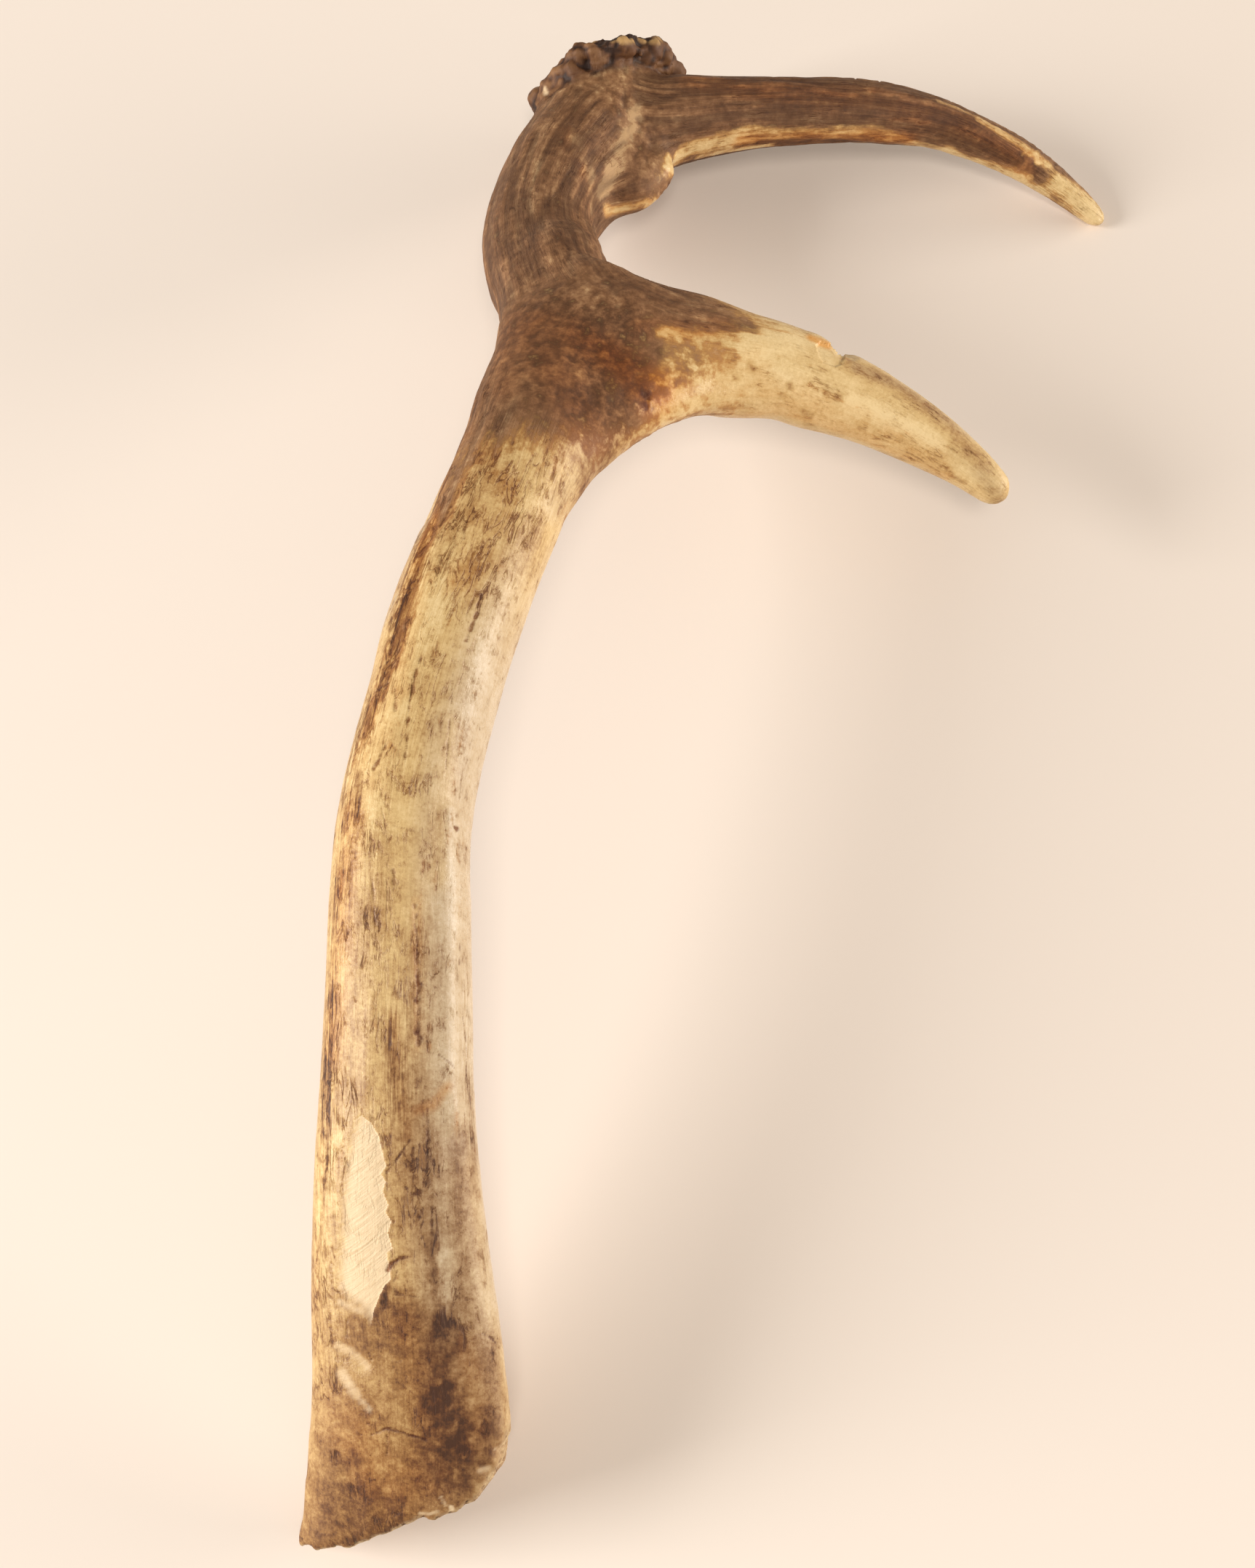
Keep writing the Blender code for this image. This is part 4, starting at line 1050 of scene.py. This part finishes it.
class Paint:  # a material under construction
    def __init__(self, name):
        self.material = bpy.data.materials.new(name)
        self.material.use_nodes = True
        self.tree = self.material.node_tree
        self.tree.nodes.clear()

    def node(self, kind, settings=None, sockets=None, output=0):
        made = self.tree.nodes.new('ShaderNode' + kind)
        for name, value in (settings or {}).items():
            if name == 'stops':
                for stop, (place, colour) in zip(self.stopsOf(made, len(value)), value):
                    stop.position, stop.color = place, (*colour, 1)
            else:
                setattr(made, name, value)
        for name, value in (sockets or {}).items():
            if isinstance(value, Wire):
                self.tree.links.new(value.socket, made.inputs[name])
            else:
                made.inputs[name].default_value = value
        return Wire(self, made.outputs[output]) if made.outputs else made

    def stopsOf(self, ramp, count):
        while len(ramp.color_ramp.elements) < count:
            ramp.color_ramp.elements.new(0.5)
        return ramp.color_ramp.elements

    def attribute(self, name):  # the three parts of one of the skin's attributes
        vector = self.node('Attribute', {'attribute_name': name}, output=1)
        return [self.node('SeparateXYZ', None, {0: vector}, output=i) for i in range(3)]

    def scaled(self, vector, scale, shift=(0, 0, 0)):
        return self.node('VectorMath', {'operation': 'MULTIPLY_ADD'}, {0: vector, 1: scale, 2: shift})

    def noise(self, vector, detail=2.0, rough=0.5, distort=0.0):
        return self.node('TexNoise', None, {'Vector': vector, 'Scale': 1.0, 'Detail': detail,
                                            'Roughness': rough, 'Distortion': distort})

    def mix(self, share, first, second, blend='MIX'):
        first, second = [each if isinstance(each, Wire) else (*each, 1) for each in (first, second)]
        return self.node('Mix', {'data_type': 'RGBA', 'blend_type': blend, 'clamp_factor': True},
                         {0: share, 6: first, 7: second}, output=2)

    def ramp(self, name, value):  # one of the antler's tones that run from one colour to the next
        return self.node('ValToRGB', {'stops': antlerTones[name]}, {0: value})

    def bump(self, height, strength, distance):
        return self.node('Bump', None, {'Height': height, 'Strength': strength, 'Distance': distance})

    def pattern(self, name, place, grain):  # from -0.5 to 0.5 or so
        size, shift, *look = patterns[name]
        if isinstance(size, tuple):
            across, along = size
            vector = self.scaled(grain, (1 / across, 1 / across, 1 / along), shift)
        else:
            vector = self.scaled(place, (1 / size,) * 3, shift)
        return self.noise(vector, *look) - 0.5

    def finish(self, **sockets):
        named = {name.replace('_', ' '): value for name, value in sockets.items()}
        shader = self.node('BsdfPrincipled', None, named)
        self.node('OutputMaterial', None, {'Surface': shader})
        return self.material


# Each pattern's size in millimetres, across and along the grain where there are two, where it is
# shifted to, its detail, its roughness and how far it is bent.
patterns = {
    'broad': (24, (0, 0, 0), 2.0),
    'patchy': (8, (5, 1, 9), 6.0, 0.62),
    'blotch': ((2.2, 4.5), (3, 2, 6), 5.0, 0.65, 0.3),
    'lumpy': (2.4, (2, 7, 3), 5.0, 0.6, 0.1),
    'stipple': (0.9, (0, 0, 0), 4.0, 0.8),
    'long': ((2.2, 30), (0, 0, 0), 4.0, 0.65, 0.2),
    'fibre': ((0.6, 9), (7, 3, 1), 4.0, 0.7, 0.3),
    'thread': ((1.0, 42), (4, 4, 2), 3.0, 0.5, 0.1),
    'winding': ((2.4, 9), (1, 8, 4), 4.0, 0.6, 0.9),
}
barbShape = {  # barbs that run across the grain, for the scrape
    'along': 0.8,
    'across': 0.6,
    'width': 0.9,
    'length': 9,
}
antlerTones = {
    'bone': [(0.0, (0.80, 0.60, 0.31)), (0.28, (0.62, 0.42, 0.180)), (0.46, (0.46, 0.275, 0.105)),
             (0.64, (0.29, 0.142, 0.043)), (0.82, (0.145, 0.056, 0.015)), (1.0, (0.065, 0.024, 0.008))],
    'bark': [(0.0, (0.055, 0.021, 0.007)), (0.3, (0.120, 0.050, 0.018)), (0.55, (0.205, 0.094, 0.038)),
             (0.8, (0.32, 0.168, 0.074)), (1.0, (0.50, 0.31, 0.15))],
    'rust': (0.93, 0.60, 0.28),
    'warm': (0.94, 0.72, 0.45),
    'olive': (0.80, 0.98, 1.75),
    'dust': (0.30, 0.19, 0.125),
    'scrape': (0.71, 0.53, 0.32),
    'drawn': (0.34, 0.19, 0.11),
    'core': [(0.25, (0.10, 0.052, 0.028)), (0.5, (0.36, 0.22, 0.11)), (0.75, (0.62, 0.46, 0.26))],
    'shed': [(0.3, (0.20, 0.12, 0.065)), (0.5, (0.43, 0.30, 0.17)), (0.75, (0.60, 0.46, 0.28))],
    'bead': [(0.1, (0.26, 0.125, 0.048)), (0.45, (0.115, 0.047, 0.018)), (0.8, (0.030, 0.012, 0.006))],
}


def antlerPaint():
    paint = Paint('grown antler')
    tone = antlerTones
    grain = paint.node('Attribute', {'attribute_name': 'grain'}, output=1)
    _, grainSide, grainFar = paint.attribute('grain')
    place = paint.node('VectorMath', {'operation': 'SCALE'},
                       {0: paint.node('TexCoord', output=3), 'Scale': 1 / mm})  # in millimetres
    brown, rust, dusk = paint.attribute('stains')
    pale, olive, scrape = paint.attribute('cover')
    streak, mottle, line = paint.attribute('marks')
    raw, seal, ring = paint.attribute('ends')
    hollow, crossing, soilAndShade = paint.attribute('relief')
    calm = 1 - (crossing * 2.2).least(1.0)

    broad, patchy, blotch, lumpy, stipple, long, fibre, thread, winding = (
        paint.pattern(name, place, grain) for name in patterns)
    blotch = blotch * calm + lumpy * (1 - calm)
    long, fibre = long * calm, fibre * calm
    along, across = barbShape['along'], barbShape['across']
    turned = paint.node('CombineXYZ', None, {
        0: (grainFar * along - grainSide * across) / barbShape['width'],
        1: (grainFar * across + grainSide * along) / barbShape['length']})
    barbs = paint.noise(turned, 3.0, 0.6, 0.3) - 0.5

    # thin winding cracks that follow the grain, broken up where the gate is shut, and specks
    gate = (blotch * 1.5 + patchy * 1.8 + streak * 0.4 + mottle * 0.6 - 0.24).between(0.0, 0.5)
    crack = (1 - winding.size() * 17).between(0.0, 1.0) * gate * calm
    speck = (stipple * 1.2 + blotch * 0.5 - 0.12).between(0.0, 0.2)

    # bare bone, from cream where it is clean to dark brown where dirt has settled and where painted shade
    # lies under the fork
    dirtAndShade = 0.33 + soilAndShade + broad * 0.35 + patchy * 0.42 - pale * 0.19
    dirtAndShade = dirtAndShade + mottle * blotch * 0.55 + lumpy * (0.3 + soilAndShade * 0.9)
    dirtAndShade = dirtAndShade + streak * (long * 0.3 + fibre * 1.5 + 0.02) + stipple * 0.55
    threads = (thread * 3.4 + patchy * 0.8).between(0.05, 0.6) * (streak - 0.5).between(0.0, 0.35) * calm
    dirtAndShade = dirtAndShade + threads * 0.34
    stain = 0.95 - dirtAndShade + patchy * 0.8 + lumpy * 1.3 + blotch * 0.8 + streak * fibre * 3
    dirtAndShade = dirtAndShade + dusk * stain + crack * 0.29 + speck * 0.16
    bone = paint.ramp('bone', dirtAndShade)
    # the olive mask greys the bone: its own tint in places, painted highlight and sheen along the ridge and
    # right side, painted shade in the crotch under the fork
    bone = paint.mix(olive * 0.8, bone, tone['olive'], 'MULTIPLY')

    # bark, from dark brown in its grooves to tan where it is worn
    weathered = 0.49 + (long * 1.3 + fibre * 0.7) * (0.6 + streak) + stipple * 0.36 + broad * 0.5
    weathered = weathered + patchy * (0.9 + crossing * 0.5) + lumpy * (0.9 + crossing * 1.1)
    weathered = weathered + pale * 0.42 - dusk * 0.25 - crack * 0.35 - speck * 0.15
    bark = paint.ramp('bark', weathered)
    bark = paint.mix(olive * 0.4, bark, tone['dust'])

    # the bark over the bone, with a warm border
    covered = brown * 1.3 - 0.15 + blotch * 1.1 + long * 1.3 + lumpy * (0.9 + crossing * 0.3) + patchy * 0.8
    covered = covered.between(0.05, 0.95)
    skin = paint.mix(covered, bone, bark)
    border = (covered * (1 - covered) * 4).least(1.0) * 0.75
    skin = paint.mix(border, skin, tone['warm'], 'MULTIPLY')

    # rust, the scrape with its painted glints, and the fine marks
    rusty = (rust + patchy * 0.9 + blotch * 0.6 + stipple * 0.4).between(0.0, 1.0)
    skin = paint.mix(rusty * rust, skin, tone['rust'], 'MULTIPLY')
    brushed = (barbs * 1.7 + stipple * 1.3 + patchy * 0.8 + 0.02).between(0.0, 0.7) * 0.5
    bare = paint.mix(brushed, tone['scrape'], tone['bone'][2][1])
    scuffed = scrape * 1.25 + (barbs * 1.3 + patchy * 0.6 + stipple * 0.5) * (1 - scrape * 0.9)
    skin = paint.mix(scuffed.between(0.1, 1.1) * (scrape * 4).between(0.0, 1.0), skin, bare)
    drawn = line * (0.85 + blotch * 1.8 + stipple * 1.2).between(0.2, 1.0)
    skin = paint.mix(drawn, skin, tone['drawn'], 'MULTIPLY')

    # the break, the shed face, the beads of the burr and all that lies hollow
    core = paint.ramp('core', 0.55 + stipple * 1.2 + patchy - hollow * 0.5)
    skin = paint.mix(raw, skin, core)
    shed = paint.ramp('shed', 0.5 + patchy * 1.4 + stipple - hollow * 0.3)
    skin = paint.mix(seal, skin, shed)
    bead = paint.ramp('bead', hollow * 0.9 + broad + patchy * 0.6 + 0.28)
    bead = paint.mix((pale + patchy - hollow - 0.2).between(0.1, 0.8), bead, tone['bone'][2][1])
    skin = paint.mix(ring * (1 - scrape), skin, bead)
    skin = paint.mix(hollow.between(0.45, 1.0) * 0.5, skin, tone['bark'][0][1])

    matt = covered.most(raw).most(seal)
    rough = 0.29 + matt * 0.36 + stipple * 0.3 + scrape * 0.2 + soilAndShade * 0.6 + dusk * 0.2 + crack * 0.2
    height = fibre * (covered * 0.8 + 0.2) + stipple * 0.3 + blotch * 0.2 + barbs * scrape * 1.0 - crack * 0.4
    normal = paint.bump(height, 0.6, 0.0006)
    return paint.finish(Base_Color=skin, Roughness=rough, Normal=normal, Specular_IOR_Level=0.3)


floorLook = {
    'colour': (0.840, 0.740, 0.645, 1),
    'size': 3.0,  # metres
    'rough': 0.9,
    'gloss': 0.1,
}


def layFloor(level):
    surface = bmesh.new()
    bmesh.ops.create_grid(surface, x_segments=1, y_segments=1, size=floorLook['size'] / 2,
                          matrix=Matrix.Translation((0, 0, level)))
    mesh = bpy.data.meshes.new('floor')
    surface.to_mesh(mesh)
    surface.free()
    floor = putIn('floor', mesh)
    paper = Paint('pale paper').finish(Base_Color=floorLook['colour'], Roughness=floorLook['rough'],
                                       Specular_IOR_Level=floorLook['gloss'])
    mesh.materials.append(paper)


# Where each lamp stands, what it points at, its sides in metres, its power in watts and its colour.
lamps = {
    'window': ((-2.2, -0.39, 0.86), (0, 0, 0.03), (1.05, 1.4), 73.0, (1.0, 0.995, 0.985)),
    'front': ((0.0, -0.95, 1.66), (0, 0, 0.03), (0.35, 0.35), 10.0, (1.0, 0.94, 0.88)),
    'right': ((1.96, 0.17, 0.40), (0, 0, 0.03), (1.8, 0.25), 44.0, (1.0, 0.94, 0.88)),
}
room = {
    'colour': (1.0, 0.93, 0.86, 1),
    'strength': 0.32,
}


def setLight():
    for name, (at, to, (wide, high), power, colour) in lamps.items():
        light = bpy.data.lights.new(name, 'AREA')
        light.shape = 'RECTANGLE'
        light.size, light.size_y = wide, high
        light.energy, light.color = power, colour
        lamp = putIn(name, light)
        lamp.location = at
        lamp.rotation_euler = (Vector(to) - Vector(at)).to_track_quat('-Z', 'Y').to_euler()
    world = bpy.data.worlds.new('room')
    world.use_nodes = True
    air = world.node_tree.nodes['Background']
    air.inputs['Color'].default_value = room['colour']
    air.inputs['Strength'].default_value = room['strength']
    bpy.context.scene.world = world
    bpy.context.scene.view_settings.view_transform = 'Standard'


setCamera()
setLight()

antler = growSkin()
easeSkin(antler)
pushSkin(antler)
refineWhereFine(antler)
dressSkin(antler)
antler.data.materials.append(antlerPaint())
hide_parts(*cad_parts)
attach(antler, 'root')
layFloor(min(v.co.z for v in antler.data.vertices))
print('dressed')
